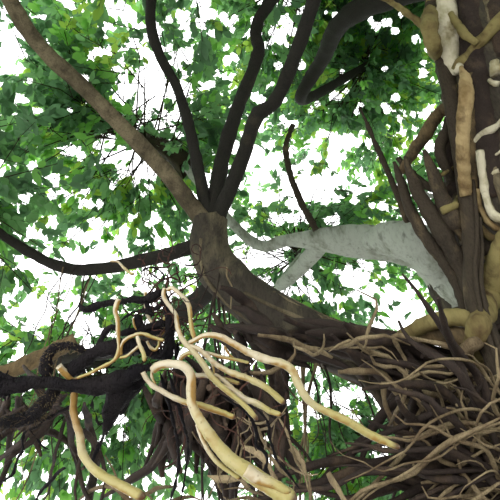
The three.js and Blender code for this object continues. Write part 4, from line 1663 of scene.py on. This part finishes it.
@dataclass(frozen=True)
class Seen:
    """A root of the trunk as the picture shows it: points, widths in pixels and depths in metres.

    It lies on the bark that the sight line meets near those depths, or else at them, and stands out of it
    towards the viewer by lift times its radius.
    """

    spots: tuple[Pair, ...]
    widths: Floats
    depths: Floats = (2.6, 2.1)
    lift: float = 0.5
    count: int = 40
    astray: float = 0.35
    window: int = 9
    broad: float = 12

    def strand(self, bark: BVHTree, seed: int) -> Strand:
        """The root, laid on the bark."""
        flat = Path.through([Vector((u, v, 0.0)) for u, v in self.spots])
        shares = np.linspace(0, 1, self.count)
        places = flat.sample(shares)
        depths = []
        for share, (u, v, _) in zip(shares, places):
            aim = (EYE.point(u, v, 1.0) - EYE.place).normalized()
            hit = bark.ray_cast(EYE.place, aim)[0]
            expected = along(self.depths, share)
            depth = (hit - EYE.place).dot(EYE.ahead) if hit else expected
            depths.append(depth if abs(depth - expected) < self.astray else expected)
        padded = np.pad(depths, self.window // 2, mode="edge")
        soft = np.convolve(padded, np.full(self.window, 1 / self.window), mode="valid")
        radii = [along(self.widths, share) / 2 * depth / EYE.focal for share, depth in zip(shares, soft)]
        lifted = soft - np.array(radii) * self.lift
        points = [EYE.point(u, v, depth) for (u, v, _), depth in zip(places, lifted)]
        rough = 0.22 if max(self.widths) < self.broad else 0.1
        return Strand(Path(points), radii, rough, seed)


# Painted highlight: pale roots in near-white cream. The first is the lit right half of a broad root whose
# shaded left half is the second and third olive strands
CREAM_HIGHLIGHT_SEEN = (
    Seen(((447, -14), (446, 10), (446, 30), (449, 50), (455, 76)), (14, 20, 27, 22, 9)),
    Seen(((460, 66), (457, 72)), (7, 9), (2.25,), 3.4),
    Seen(((508, 116), (492, 130), (483, 134), (471, 146)), (8, 7, 8, 6), (2.0,), 1.4),
    Seen(((480, 151), (483, 178), (487, 203), (496, 217), (512, 221)), (8, 7.5, 8.5), (2.0, 1.9), 1.6),
    Seen(((502, 151), (489, 159)), (4, 4), (2.0,), 1.2),
    Seen(((499, 171), (486, 178), (490, 191)), (4, 4), (2.0,), 1.2),
    Seen(((494, 62), (496, 74)), (9, 11), (2.2,), 1.0),
    Seen(((489, 80), (493, 83), (499, 84)), (5, 6, 6), (2.2,), 1.0),
)
OLIVE_SEEN = (
    Seen(((451, 14), (456, 22), (464, 33), (477, 44)), (6, 7, 8, 6), (2.3, 2.25), 5.0),
    # Painted shade over olive tone: this strand and the next are the shaded left half of the broad root
    # whose lit half is the first cream strand; the other olive strands are olive roots
    Seen(((436, -14), (431, 10), (430, 32), (435, 50), (444, 66)), (10, 15, 16, 14, 7), (2.35, 2.3), 2.0),
    Seen(((440, -12), (434, 10), (431, 28), (435, 46), (443, 62), (453, 88), (458, 112)),
        (9, 13, 15, 12, 9, 7, 5), lift=0.75),
    Seen(((376, -6), (392, 3), (408, 14), (427, 28)), (5, 6, 7), (2.7, 2.6), 0.9),
    Seen(((514, 8), (497, 24), (482, 40), (468, 57), (456, 71)), (14, 13, 12, 13), (2.3, 2.35), 1.0),
    Seen(((466, 190), (456, 204), (442, 211)), (9, 8, 7), (2.1,), 1.2),
    Seen(((462, 164), (450, 170), (437, 178)), (4, 4), (2.2,), 1.0),
    Seen(((472, 216), (480, 228), (492, 238), (507, 242)), (6, 7, 6), (2.0, 1.9), 1.2),
    Seen(((470, 222), (473, 238), (482, 252), (492, 263)), (5, 6, 5), (2.0, 1.9), 1.2),
    Seen(((515, 228), (501, 257), (491, 285), (482, 315), (475, 345), (471, 362)), (25, 24, 22, 24),
        (1.85, 1.65), 1.0),
    Seen(((394, 339), (415, 330), (436, 321), (462, 317), (476, 326)), (7, 12, 18, 16), (1.9, 1.75), 0.4),
)
TAN_SEEN = (
    Seen(((461, 68), (465, 80), (466, 100), (463, 125), (463, 160), (466, 196)), (5, 12, 14, 12, 12, 10),
        (2.32, 2.1), 6.0),
    Seen(((478, 190), (480, 206), (488, 222), (504, 232)), (5, 6, 5), (2.05, 1.95), 1.2),
)
# Painted shade: dark strands sunk behind the bark where the trunk's recesses lie in deep shade
HOLLOW_SHADE_SEEN = (
    Seen(((470, -12), (473, 20), (476, 60), (484, 110), (490, 150), (492, 200)), (24, 28, 32, 36, 32, 26),
        (2.4, 2.0), -0.55),
    Seen(((496, -12), (500, 20), (505, 60)), (26, 26, 22), (2.3, 2.2), -0.55),
    Seen(((452, 118), (450, 150), (455, 190)), (16, 20, 18), (2.4, 2.2), -0.4),
)
BROWN_SEEN = (
    Seen(((456, 101), (438, 115), (424, 136), (411, 156), (401, 172)), (9, 13, 13, 8), (2.5, 2.4), 0.4),
    # Painted shade: a brown strand along the right side of the first tan root
    Seen(((473, 74), (474, 110), (472, 150), (474, 190)), (14, 16, 13, 9), (2.35, 2.15), 0.3),
    Seen(((446, 252), (456, 250), (468, 252)), (5, 9, 5), (2.1,), 1.2),
    Seen(((452, 222), (461, 236), (466, 250), (474, 268)), (6, 8, 8, 6), (2.1, 2.05), 1.0),
    Seen(((464, 262), (470, 284), (474, 306)), (6, 8, 6), (2.05, 2.0), 1.0),
    Seen(((430, 206), (446, 216), (452, 226)), (6, 7, 5), (2.3, 2.2), 1.0),
    Seen(((418, 340), (446, 334), (470, 340)), (10, 16, 18), (1.9, 1.75), 0.1),
    Seen(((-12, 378), (18, 368), (40, 358), (76, 340)), (16, 17, 15), (1.6, 1.8), 0.0),
)
DARK_SEEN = (
    Seen(((394, 162), (405, 194), (414, 218), (428, 240), (446, 264), (460, 288), (468, 318), (474, 350)),
        (3, 9, 11, 12, 13, 14, 13, 12), (2.35, 1.9), 0.2),
    Seen(((404, 156), (416, 188), (430, 214), (446, 240), (462, 268), (474, 302)), (3, 13, 16, 18, 17, 14),
        (2.3, 1.95), 0.1),
    Seen(((424, 150), (436, 180), (446, 206), (460, 232), (474, 258), (488, 284)), (4, 14, 17, 18, 17, 15),
        (2.25, 1.95), 0.1),
    Seen(((452, 172), (462, 203), (474, 230), (490, 254)), (14, 17, 15), (2.2, 1.95), 0.1),
    Seen(((455, 118), (444, 136), (440, 152), (447, 170), (456, 190)), (9, 12, 10, 9), (2.35, 2.2), 0.2),
    Seen(((398, 158), (410, 172), (424, 184), (440, 192)), (6, 8, 7), (2.5, 2.3), 0.0),
    Seen(((360, 108), (374, 140), (388, 172), (398, 196), (408, 222)), (3, 5, 6, 7), (3.0, 2.6), 0.0),
    Seen(((293, 125), (286, 145), (287, 160), (292, 180), (300, 200), (308, 215), (316, 230)),
        (5, 6, 6.5, 7), (4.4, 4.0)),
)
GREY_SEEN = (
    Seen(((366, 240), (392, 239), (412, 242), (430, 252), (446, 272), (460, 296), (463, 306)),
        (16, 34, 40, 42, 42, 36, 20), (3.95, 3.5, 3.3, 3.2), 0.0),
    Seen(((416, 188), (430, 196), (446, 196)), (4, 5, 4), (2.4, 2.3), 0.6),
)
LIT_SEEN = (
    Seen(((488, 340), (470, 346), (463, 358), (468, 372), (480, 374), (485, 360)), (12, 15, 13), (1.65,),
        1.0),
    Seen(((472, 362), (450, 366), (415, 367), (393, 364)), (6, 5, 4, 3), (1.62, 1.7), 1.0),
    Seen(((470, 374), (445, 384), (430, 404), (445, 432), (464, 465)), (6, 5, 5, 4), (1.6, 1.5), 1.0),
    Seen(((474, 375), (482, 395), (502, 413)), (7, 6, 5), (1.6, 1.5), 1.0),
    Seen(((465, 353), (440, 344), (415, 339), (393, 336), (404, 358), (409, 375), (414, 396)),
        (6, 5, 4, 5, 4), (1.65, 1.7)),
    Seen(((480, 365), (503, 351)), (8, 7), (1.6,), 1.0),
    Seen(((258, 335), (280, 338), (292, 341), (305, 348), (318, 350), (333, 358)), (3, 4.5, 5, 4),
        (1.7, 1.75)),
    Seen(((338, 372), (360, 371), (382, 373), (389, 381), (398, 394), (409, 403)), (5, 6, 6, 4), (1.6,)),
    Seen(((384, 382), (384, 398), (389, 414), (403, 438), (412, 452), (432, 456), (462, 465)), (6, 6, 5, 4),
        (1.55, 1.5)),
    Seen(((438, 383), (456, 394), (476, 408), (484, 430), (500, 450)), (4.5, 4.5, 4), (1.55, 1.5)),
    Seen(((415, 390), (438, 396), (458, 405)), (4, 4), (1.55,)),
    Seen(((476, 398), (478, 420), (480, 450), (488, 470), (502, 482)), (5.5, 5, 5), (1.5, 1.4)),
    Seen(((420, 483), (440, 480), (460, 481), (473, 489), (479, 504)), (5, 6, 6), (1.3, 1.25)),
    Seen(((412, 464), (428, 475), (442, 480)), (4, 4), (1.35, 1.3)),
    Seen(((292, 448), (303, 461), (306, 478), (311, 503)), (4, 5, 4), (1.0, 0.95)),
    Seen(((328, 473), (336, 486), (347, 504)), (5, 5.5), (1.1, 1.05)),
    Seen(((243, 447), (257, 452), (268, 464), (274, 478), (284, 503)), (3.5, 4.5, 4), (0.8, 0.75)),
    Seen(((206, 475), (222, 480), (238, 478), (248, 488)), (4, 6, 4), (0.8,)),
)


STRAND_PIECES = (
    ("strands_cream", CREAM_HIGHLIGHT_SEEN, CREAM_HIGHLIGHT_BARK),
    ("strands_olive", OLIVE_SEEN, OLIVE_BARK),
    ("strands_brown", BROWN_SEEN, OCHRE_BARK),
    ("strands_tan", TAN_SEEN, TAN_STRAND),
    ("strands_umber", DARK_SEEN, UMBER_BARK),
    ("hollows", HOLLOW_SHADE_SEEN, DARK_ROOT),
    ("strands_grey", GREY_SEEN, GREY_BARK),
    ("strands_lit", LIT_SEEN, LIT_ROOT),
)


@dataclass
class TrunkStrands:
    """The lattice of roots on the trunk's near side, laid on its skin."""

    skin: Object

    def build(self, name: str, seen: Sequence[Seen]) -> Object:
        """Some of the roots as one piece."""
        mesh = bmesh.new()
        mesh.from_mesh(self.skin.data)
        bark = BVHTree.FromBMesh(mesh)
        mesh.free()
        strands = [root.strand(bark, k) for k, root in enumerate(seen)]
        made = joined(swept(s.path, s.radius, sides=14, step=0.018) for s in strands)
        relief(made, depth=0.006, size=(0.05, 0.05, 0.09), seed=4.0)
        relief(made, depth=0.002, size=(0.015, 0.015, 0.03), seed=6.0)
        return object_of(name, made)


# The old root and the tuft


@dataclass(frozen=True)
class Trail:
    """A root as the picture shows it: points across and down, depths and diameters in millimetres."""

    spots: tuple[Pair, ...]
    depths: Floats
    widths: Floats

    def path(self) -> Path:
        """The root's middle line."""
        last = len(self.spots) - 1
        points = [EYE.point(u, v, along(self.depths, i / last) * MM) for i, (u, v) in enumerate(self.spots)]
        return Path.through(points)

    def radius(self, share: float) -> float:
        """The radius at a share of the length, in metres."""
        return along(self.widths, share) * MM / 2


# How far apart an old root's and a fresh root's swellings lie, and a fresh root's rings, in metres
OLD_SWELLING, FRESH_SWELLING, RING_GAP = 0.011, 0.012, 0.0028
OLD_TRAILS = (
    Trail(((-60, 392), (-20, 388), (10, 387), (40, 382), (72, 385.5), (96, 386), (120, 381), (138, 371),
        (152, 365)), (336,), (17, 16.5, 14.5, 10.5, 7.6, 8.6, 15, 13, 8)),
    Trail(((128, 376), (120, 392), (112, 410), (108, 424), (104, 436)), (342, 347), (19, 19, 13, 8, 3)),
    Trail(((140, 372), (132, 388), (124, 404), (120, 416)), (346, 350), (12, 12, 8, 3)),
    Trail(((-30, 372), (0, 376), (14, 380), (34, 385)), (338,), (8, 6.5, 4.5, 6)),
    Trail(((66, 376), (80, 365), (92, 355), (104, 349), (118, 347), (136, 346), (152, 352), (163, 357)),
        (343, 348), (9, 11.5, 10.5, 10, 11, 10, 9.5, 8)),
    Trail(((166, 362), (169, 345), (170, 328), (168, 312), (165, 298), (163, 286)), (346, 356),
        (8.5, 7, 6.2, 5.6, 5, 4)),
    Trail(((79, 303), (84, 309), (92, 308), (105, 303.5), (118, 302), (132, 299.5), (144, 300), (154, 296),
        (163, 289)), (352, 356), (3, 5.6, 6, 5.4, 4.8, 6, 6.6, 6.4, 4.6)),
    Trail(((145, 301), (149, 308), (157, 308), (165, 300)), (354,), (3.6, 3, 3.6)),
    Trail(((97, 350), (102, 338), (107, 330), (113, 327), (119, 332)), (345, 348), (4.6, 4.4, 4, 2.6)),
    Trail(((119, 323), (127, 316), (136, 311.5), (146, 311), (154, 316)), (354,), (1.6, 2, 2.6, 3)),
    Trail(((136, 314), (141, 326), (150, 332), (163, 330)), (353,), (6, 7, 6, 5)),
    Trail(((119, 334), (134, 331), (150, 327), (166, 322)), (352,), (4, 5.4, 5)),
)
HAIRY_TRAILS = (
    Trail(((47, 378), (46, 363), (50, 352), (60, 346.5), (74, 346.5), (85, 352)), (341, 346),
        (9.5, 9.5, 8, 6, 5.6, 5)),
    Trail(((58, 386), (50, 396), (42, 406), (32, 416), (16, 421), (-12, 424)), (345, 356),
        (8.5, 11, 11, 11, 9, 8)),
)
THIN_TRAILS = (
    Trail(((72, 404), (66, 409), (60, 412), (52, 416), (44, 420), (36, 427), (28, 430), (24, 434),
        (22.5, 442), (23, 450), (18, 458), (15, 466), (14, 472), (10, 477), (0, 483), (-14, 490)),
        (352, 372), (1.5, 2, 1.7, 2.2)),
    Trail(((30, 430), (38, 440), (43, 447), (50, 450)), (366,), (1, 1.2, 0.7)),
    Trail(((87, 390), (95, 394), (92, 401), (93, 408), (96, 415), (97, 422), (100, 425), (105, 423),
        (104, 431), (102, 440), (97, 450), (94, 458), (93, 464)), (338, 352), (1.3, 1.5, 1.4, 2.8, 2.6)),
    Trail(((66, 468), (60, 471), (52, 480), (42, 490), (34, 504)), (360, 380), (2, 2.8, 2.6)),
    Trail(((160, 372), (174, 424), (179, 465), (169, 505)), (352, 400), (2.6, 2.6, 2.2)),
    Trail(((168, 370), (183, 422), (188, 452), (180, 505)), (352, 405), (2.4, 2.2, 1.6)),
    Trail(((218, 392), (238, 406), (250, 416), (257, 435), (256, 445), (267, 456), (263, 480)), (362, 385),
        (2, 3, 2.2)),
    Trail(((222, 388), (263, 415), (270, 438), (276, 458), (286, 471), (302, 492)), (368, 392),
        (1.2, 1.6, 1.2)),
    Trail(((148, 358), (155, 356), (162, 355), (165, 350), (167, 343), (170, 345)), (338, 340),
        (1, 1.3, 0.9)),
    Trail(((163, 357), (161, 346), (165, 335), (171, 326)), (340, 344), (2, 1.8, 1.2)),
    Trail(((173, 335), (175, 347), (175, 362)), (346,), (1.8, 1.4)),
    Trail(((176, 340), (178, 350), (173, 372), (175, 380), (179, 387)), (350, 356), (1.4, 1.1)),
    Trail(((140, 278), (142, 271), (152, 267), (162, 272), (164, 281), (157, 286)), (356,), (1, 1.2, 0.8)),
    Trail(((137, 274), (146, 279), (155, 276), (163, 284)), (357,), (0.8, 1, 0.8)),
)
FRESH_LEFT = (
    Trail(((58.5, 366), (63, 371), (69, 377), (74, 385), (74, 400), (73.5, 410), (76, 423), (80, 436),
        (82, 452), (90, 465), (102, 475), (124, 487), (145, 498)), (337, 341, 348, 343, 334, 324),
        (4.8, 5, 5.6, 5.8, 6.6, 7)),
)
FRESH_CENTRE = (
    Trail(((153, 370), (159, 365.5), (168, 364), (178, 364.5), (186, 368), (191, 376), (191, 390),
        (192, 404), (198, 417), (207, 431), (218, 446), (230, 459), (246, 470), (263, 482), (281, 493),
        (297, 503)), (333, 326, 318, 306, 296), (5.6, 6.2, 6.6, 8.4, 10.6, 11.6)),
    Trail(((246, 470), (258, 478), (274, 484), (291, 493)), (300, 295), (8, 7, 4.6)),
    Trail(((197, 424), (203, 440), (212, 456), (223, 467), (241, 479)), (315, 306), (3.0, 3.2, 3.0)),
    Trail(((143, 372), (147, 380), (153, 386), (162, 391), (171, 396), (185, 402), (196, 404), (212, 409),
        (236, 418)), (333, 330), (3.4, 3.8, 4.6, 3.8)),
    Trail(((152, 371), (152, 377), (156, 385)), (334,), (2.2, 1.8)),
)
FRESH_RIGHT = (
    Trail(((164.5, 288), (163.5, 295), (167, 303), (172, 309), (176, 316), (177, 324), (179, 332),
        (184, 342), (192, 350), (199, 358), (205, 367), (211, 376), (219, 384), (232, 395), (244, 405),
        (258, 420)), (353, 347, 338, 331), (3.0, 3.4, 3.8, 4.6, 3.4, 3.6)),
    Trail(((167.5, 290), (172, 288), (178, 292.5), (184, 298), (189, 306), (190.5, 318), (191.5, 328),
        (195, 340)), (352, 345), (3.0, 3.4, 3.2)),
    Trail(((187, 344), (195, 340), (203, 336), (211, 335), (222, 337.5), (234, 344), (248, 352), (265, 359),
        (281, 363), (292, 370), (297, 381), (303, 393), (314, 405), (330, 413), (349, 422), (371, 435),
        (400, 448)), (345, 338, 330, 328), (3.4, 4.8, 5.6, 5.8, 5.2, 6.0, 4.4)),
    Trail(((189, 346), (198, 348.5), (206, 355), (214, 363), (227, 371), (238, 375), (254, 381), (268, 389),
        (285, 404)), (343, 336), (3.2, 3.8, 4.4, 4.6, 3.8)),
    Trail(((216, 384), (232, 390), (244, 399), (257, 403), (270, 411), (282, 415)), (340, 334),
        (3.2, 4.2, 3.4)),
    Trail(((207, 371), (222, 379), (234, 390), (252, 402), (266, 409)), (342, 337), (2.6, 3.4, 3.0)),
    Trail(((193, 375), (204, 375.5), (218, 378), (230, 380.5), (240, 384)), (344,), (3.0, 3.2, 2.6)),
    Trail(((181, 365), (181, 358), (186, 354), (193, 353), (200, 358)), (345, 342), (3.2, 3.4, 2.8)),
    Trail(((209, 358), (213, 366), (214, 376)), (341,), (1.9, 1.7)),
    Trail(((145.5, 292), (145, 303), (146, 311), (149, 318), (153, 324), (158, 326), (163, 322), (166, 314),
        (168, 303)), (357, 353), (2.0, 2.6, 2.2)),
    Trail(((152, 322), (154, 331), (160, 335), (164, 329), (167, 318), (169, 308)), (356, 353),
        (2.0, 2.4, 2.0)),
    Trail(((205, 352), (222, 357), (238, 360), (250, 363)), (345, 343), (2.2, 2.8, 1.8)),
    Trail(((224, 346), (229, 354), (236, 360)), (344,), (1.7, 1.4)),
)
FRESH_TOP = (
    Trail(((119, 299), (116.5, 305), (115.5, 312), (117.5, 320), (118, 332), (118.5, 341), (119, 350),
        (116, 358), (110, 363), (100, 368), (88, 374), (74, 379)), (343, 340, 336),
        (3.4, 3.4, 2.8, 2.8, 2.4, 1.8)),
    Trail(((121, 355), (121, 347), (124, 341), (130, 337), (137, 334.5), (144, 334), (152, 337), (165, 341)),
        (340, 342), (2.4, 2.8, 2.4)),
    Trail(((137, 336), (139, 343), (142, 350), (144, 356), (144.5, 362)), (338, 330), (2.6, 3.2, 2.8)),
    Trail(((139, 346), (133, 351), (127, 356), (119, 358)), (338,), (2.0, 2.2)),
    Trail(((147, 341), (150, 347), (155, 350), (158.5, 346), (159, 340)), (343,), (1.8, 2.2, 1.6)),
    Trail(((110, 261), (118, 262), (124, 268), (130, 273), (135, 274)), (370,), (1.2, 2, 2.2)),
    Trail(((133, 318), (134, 325), (137, 331)), (350,), (1.4, 1.2)),
)
FRESH_TRAILS = {
    "fresh_roots_left": FRESH_LEFT,
    "fresh_roots_centre": FRESH_CENTRE,
    "fresh_roots_right": FRESH_RIGHT,
    "fresh_roots_top": FRESH_TOP,
}


@dataclass(frozen=True)
class Curls:
    """Curly rootlets that start in one part of the picture.

    Across, down and stride are in pixels, depth in metres and radius in millimetres. The first heading is
    any, or has a middle and a spread in radians.
    """

    count: int
    across: Pair
    down: Pair
    depth: Pair
    stride: Pair
    radius: Pair
    curl: float
    heading: Pair | None = None
    steps: int = 8
    depth_stray: float = 0.004

    def grow(self, rng: Generator, first: int) -> list[Strand]:
        """Makes the rootlets, numbered from first on."""
        made = []
        for k in range(first, first + self.count):
            spot = np.array([rng.uniform(*self.across), rng.uniform(*self.down)])
            depth, stride = rng.uniform(*self.depth), rng.uniform(*self.stride)
            thick = rng.uniform(*self.radius)
            way = rng.normal(*self.heading) if self.heading else rng.uniform(0, math.tau)
            points = []
            for _ in range(self.steps):
                points.append(EYE.point(*spot, depth))
                way += rng.normal(0, self.curl)
                spot = spot + np.array([math.cos(way), math.sin(way)]) * stride
                depth += rng.normal(0, self.depth_stray)
            made.append(Strand(Path.through(points, 5), (thick * MM, thick * MM * 0.6), 0.2, k))
        return made


CURLS = (
    Curls(77, (148, 186), (262, 352), (0.346, 0.40), (3, 8), (0.3, 0.9), 0.7),
    Curls(19, (165, 290), (370, 420), (0.42, 0.8), (7, 15), (0.5, 1.6), 0.45, (1.5, 0.5)),
)


@dataclass
class Tuft:
    """The blackened old root and the fresh rootlets that spring from its end."""

    skeleton: Skeleton
    hang: tuple = ((-2.08, -1.64, 4.0), (-2.115, -1.69, 2.42), (-2.11, -1.685, 1.96), (-1.96, -1.65, 1.69),
                   (-1.567, -1.6, 1.632))
    rope_radii: Floats = (0.015, 0.014, 0.013, 0.011)
    # The direction whose side of each fresh root gets amber painted shade
    underneath: Vector = Vector((0.60, 0.21, -0.66))
    fresh_swell: float = 0.10
    ring_depth: float = 0.022
    ring_stray: float = 3
    tip_length: float = 1.6

    def build_old(self) -> Object:
        """The old root: its rope from the bough, its knots and its thin black rootlets."""
        top = self.skeleton.paths["bough_over_left"].at(0.93)
        rope = Strand(Path.through([top, *map(Vector, self.hang)]), self.rope_radii, knots=0.35, seed=4)
        parts = [swept(rope.path, rope.radius, sides=12, step=0.012)]
        for k, trail in enumerate(OLD_TRAILS):
            parts.append(self.knobbly(trail, rough=0.4, sides=14, step=0.0022, k=k))
            parts += self.burrs(trail, every=0.0035, thick=(0.15, 0.4), k=k)
        for k, trail in enumerate(HAIRY_TRAILS):
            parts.append(self.knobbly(trail, rough=0.3, sides=14, step=0.0022, k=10 + k))
        for k, trail in enumerate(THIN_TRAILS):
            parts.append(self.knobbly(trail, rough=0.3, sides=8, step=0.004, k=20 + k))
        mesh = joined(parts)
        relief(mesh, depth=0.0011, size=(0.006, 0.006, 0.006), seed=2.0)
        relief(mesh, depth=0.0005, size=(0.0022, 0.0022, 0.0022), seed=8.0)
        return object_of("old_root", mesh)

    @staticmethod
    def knobbly(trail: Trail, rough: float, sides: int, step: float, k: int) -> BMesh:
        """A root whose thickness swells and shrinks, with rounded ends."""
        path = trail.path()

        def radius(share: float) -> float:
            place = share * path.length / OLD_SWELLING
            swell = 1 + rough * ripple(place, k * 5.7, 0.0)
            ends = min(1.0, 0.25 + 12 * share, 0.25 + 12 * (1 - share))
            return trail.radius(share) * swell * ends

        return swept(path, radius, sides, step)

    @staticmethod
    def burrs(trail: Trail, every: float, thick: Pair, k: int) -> list[BMesh]:
        """Stubs or short hairs that stand out of an old root.

        Args:
            trail: The root.
            every: The length of root for each, in metres.
            thick: The least and greatest radius at the foot, as shares of the root's.
            k: The seed.

        Returns:
            One bmesh for each.
        """
        rng = default_rng(500 + k)
        path = trail.path()
        made = []
        for _ in range(int(path.length / every)):
            share = rng.uniform(0.05, 0.97)
            out = Vector(rng.normal(size=3)).normalized()
            start = path.at(share)
            reach = trail.radius(share) * rng.uniform(1.1, 1.6) + 0.0012
            bend = start + out * reach + Vector(rng.normal(0, 0.0012, 3))
            radii = (trail.radius(share) * rng.uniform(*thick), 0.00015)
            strand = Strand(Path([start, start.lerp(bend, 0.6), bend]), radii)
            made.append(swept(strand.path, strand.radius, 5, reach / 3))
        return made

    @staticmethod
    def build_rootlets() -> Object:
        """Curly reddish rootlets round the knot, and longer ones that hang behind it, as one piece."""
        rng = default_rng(77)
        strands = []
        for curls in CURLS:
            strands += curls.grow(rng, len(strands))
        return object_of("old_rootlets", strands_mesh(strands, step=0.004, sides=6))

    def build_hairs(self) -> Object:
        """The short hairs of two old roots as one piece."""
        hairs = []
        for k, trail in enumerate(HAIRY_TRAILS):
            hairs += self.burrs(trail, every=0.00016, thick=(0.02, 0.04), k=10 + k)
        return object_of("old_root_hairs", joined(hairs))

    def fresh(self, trail: Trail, k: int) -> BMesh:
        """One fresh root: slight rings and swellings, a cut start and a rounded tip."""
        path = trail.path()

        def radius(share: float) -> float:
            place = share * path.length
            swell = 1 + self.fresh_swell * ripple(place / FRESH_SWELLING, k * 3.3, 0.0)
            stray = self.ring_stray * ripple(place / 0.01, k, 5.0)
            rings = 1 + self.ring_depth * math.sin(place / RING_GAP + stray)
            left = (1 - share) * path.length / max(trail.radius(1.0), 1e-4)
            tip = math.sqrt(max(0.02, 1 - (1 - min(1.0, left / self.tip_length)) ** 2))
            return trail.radius(share) * swell * rings * tip

        return swept(path, radius, sides=18, step=0.0012)

    def build_fresh(self) -> list[tuple[str, Object]]:
        """The fresh roots, one piece for each node that they stand for."""
        made = []
        for name, trails in FRESH_TRAILS.items():
            mesh = joined([self.fresh(trail, k) for k, trail in enumerate(trails)])
            relief(mesh, depth=0.00035, size=(0.004, 0.004, 0.004), seed=1.0)
            self.mark_underside(mesh)
            made.append((name, object_of(f"{name}_skin", mesh)))
        return made

    def mark_underside(self, mesh: Mesh) -> None:
        """Keeps how far each vertex faces down and to the right, where the skin gets amber painted shade."""
        low = np.array(self.underneath.normalized())
        share = vertex_rows(mesh, "normal") @ low * 0.5 + 0.5
        layer = mesh.attributes.new("underside", "FLOAT", "POINT")
        layer.data.foreach_set("value", share.astype(np.float32))


# Stage


@dataclass
class Studio:
    """A pale floor, an even white surround and soft lamps."""

    floor_size: float = 60.0
    floor_gap: float = 0.002
    surround: float = 3.1

    def build(self) -> None:
        """Makes the floor, the surround and the lamps."""
        made = bmesh.new()
        bmesh.ops.create_grid(made, x_segments=1, y_segments=1, size=self.floor_size / 2)
        mesh = bpy.data.meshes.new("floor")
        made.to_mesh(mesh)
        made.free()
        floor = linked("floor", mesh)
        floor.location.z = -self.floor_gap
        paint = Paint("floor")
        grain = paint.noise((0.4, 0.4, 0.4), 3)
        tint = paint.mix(grain, (0.38, 0.375, 0.36), (0.42, 0.415, 0.40))
        mesh.materials.append(paint.close(paint.principled({"Base Color": tint, "Roughness": 0.9})))
        world = bpy.data.worlds.new("surround")
        world.use_nodes = True
        background = world.node_tree.nodes["Background"]
        background.inputs["Color"].default_value = (1.0, 1.0, 1.0, 1.0)
        background.inputs["Strength"].default_value = self.surround
        bpy.context.scene.world = world
        bpy.context.scene.view_settings.view_transform = "Standard"
        self.lamp("fill_near", EYE.place + Vector((-0.9, -0.6, 0.1)), EYE.point(200, 360, 0.4), 0.7, 1.6)
        self.lamp("fill_trunk", Vector((-2.2, -2.6, 0.8)), Vector((-0.4, -0.8, 3.2)), 1.6, 30)

    @staticmethod
    def lamp(name: str, place: Vector, aim: Vector, size: float, watts: float) -> None:
        """One soft square lamp that the camera doesn't see."""
        data = bpy.data.lights.new(name, "AREA")
        data.size = size
        data.energy = watts
        lamp = linked(name, data)
        lamp.location = place
        lamp.rotation_mode = "QUATERNION"
        lamp.rotation_quaternion = (aim - place).to_track_quat("-Z", "Y")
        lamp.visible_camera = False


def write_sizes() -> None:
    """Updates the view layer."""
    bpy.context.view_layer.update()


def main() -> None:
    """Builds the tree round its frame."""
    logging.basicConfig(level=logging.INFO, stream=sys.stdout, format="%(name)s: %(message)s")
    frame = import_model()
    crowns, standing, hanging = (
        [n for n in frame["nodes"] if n.startswith(start)] for start in ("crown_", "standing_", "hanging_")
    )
    EYE.camera()
    Studio().build()
    skeleton = Skeleton()
    trunk = Trunk()
    grown = GrownRoots(trunk, skeleton)
    skin = trunk.skin(skeleton, grown.ribs())
    dress(skin, TRUNK_BARK, "bark", "trunk", *(limb.name for limb in LIMBS))
    dress(grown.build(), TAN_BARK, "bark")
    lattice = TrunkStrands(skin)
    for name, seen, finish in STRAND_PIECES:
        dress(lattice.build(name, seen), finish, "bark")
    wood = BoughWood(skeleton)
    for name, boughs, finish in BOUGH_PIECES:
        dress(wood.build(name, boughs), finish, "bark", *boughs)
    foliage = Foliage(skeleton).build()
    dress(foliage.pop("twigs_1"), TWIG_BARK, "bark", *crowns)
    dress(foliage.pop("twigs_2"), TWIG_BARK, "bark")
    for name, piece in foliage.items():
        dress(piece, LeafFinish(LeafTint[name.split("_")[1].upper()]), "leaves", *crowns)
    dress(StandingRoots().build(), UMBER_BARK, "root_bark", *standing)
    tassels = HangingRoots(skeleton).build()
    dress(tassels["dark"], DARK_ROOT, "root_bark", *hanging)
    dress(tassels["lit"], LIT_ROOT, "root_bark", *hanging)
    tuft = Tuft(skeleton)
    dress(tuft.build_old(), OLD_BARK, "old_root", "old_root_hanging", "old_root_turn", "old_root_knot")
    dress(tuft.build_rootlets(), RED_ROOT, "old_root")
    dress(tuft.build_hairs(), HAIR, "old_root")
    for name, piece in tuft.build_fresh():
        dress(piece, AMBER_TOPPED_SKIN if name == "fresh_roots_left" else FRESH_SKIN, "fresh_root", name)
    write_sizes()


if __name__ == "__main__":
    main()
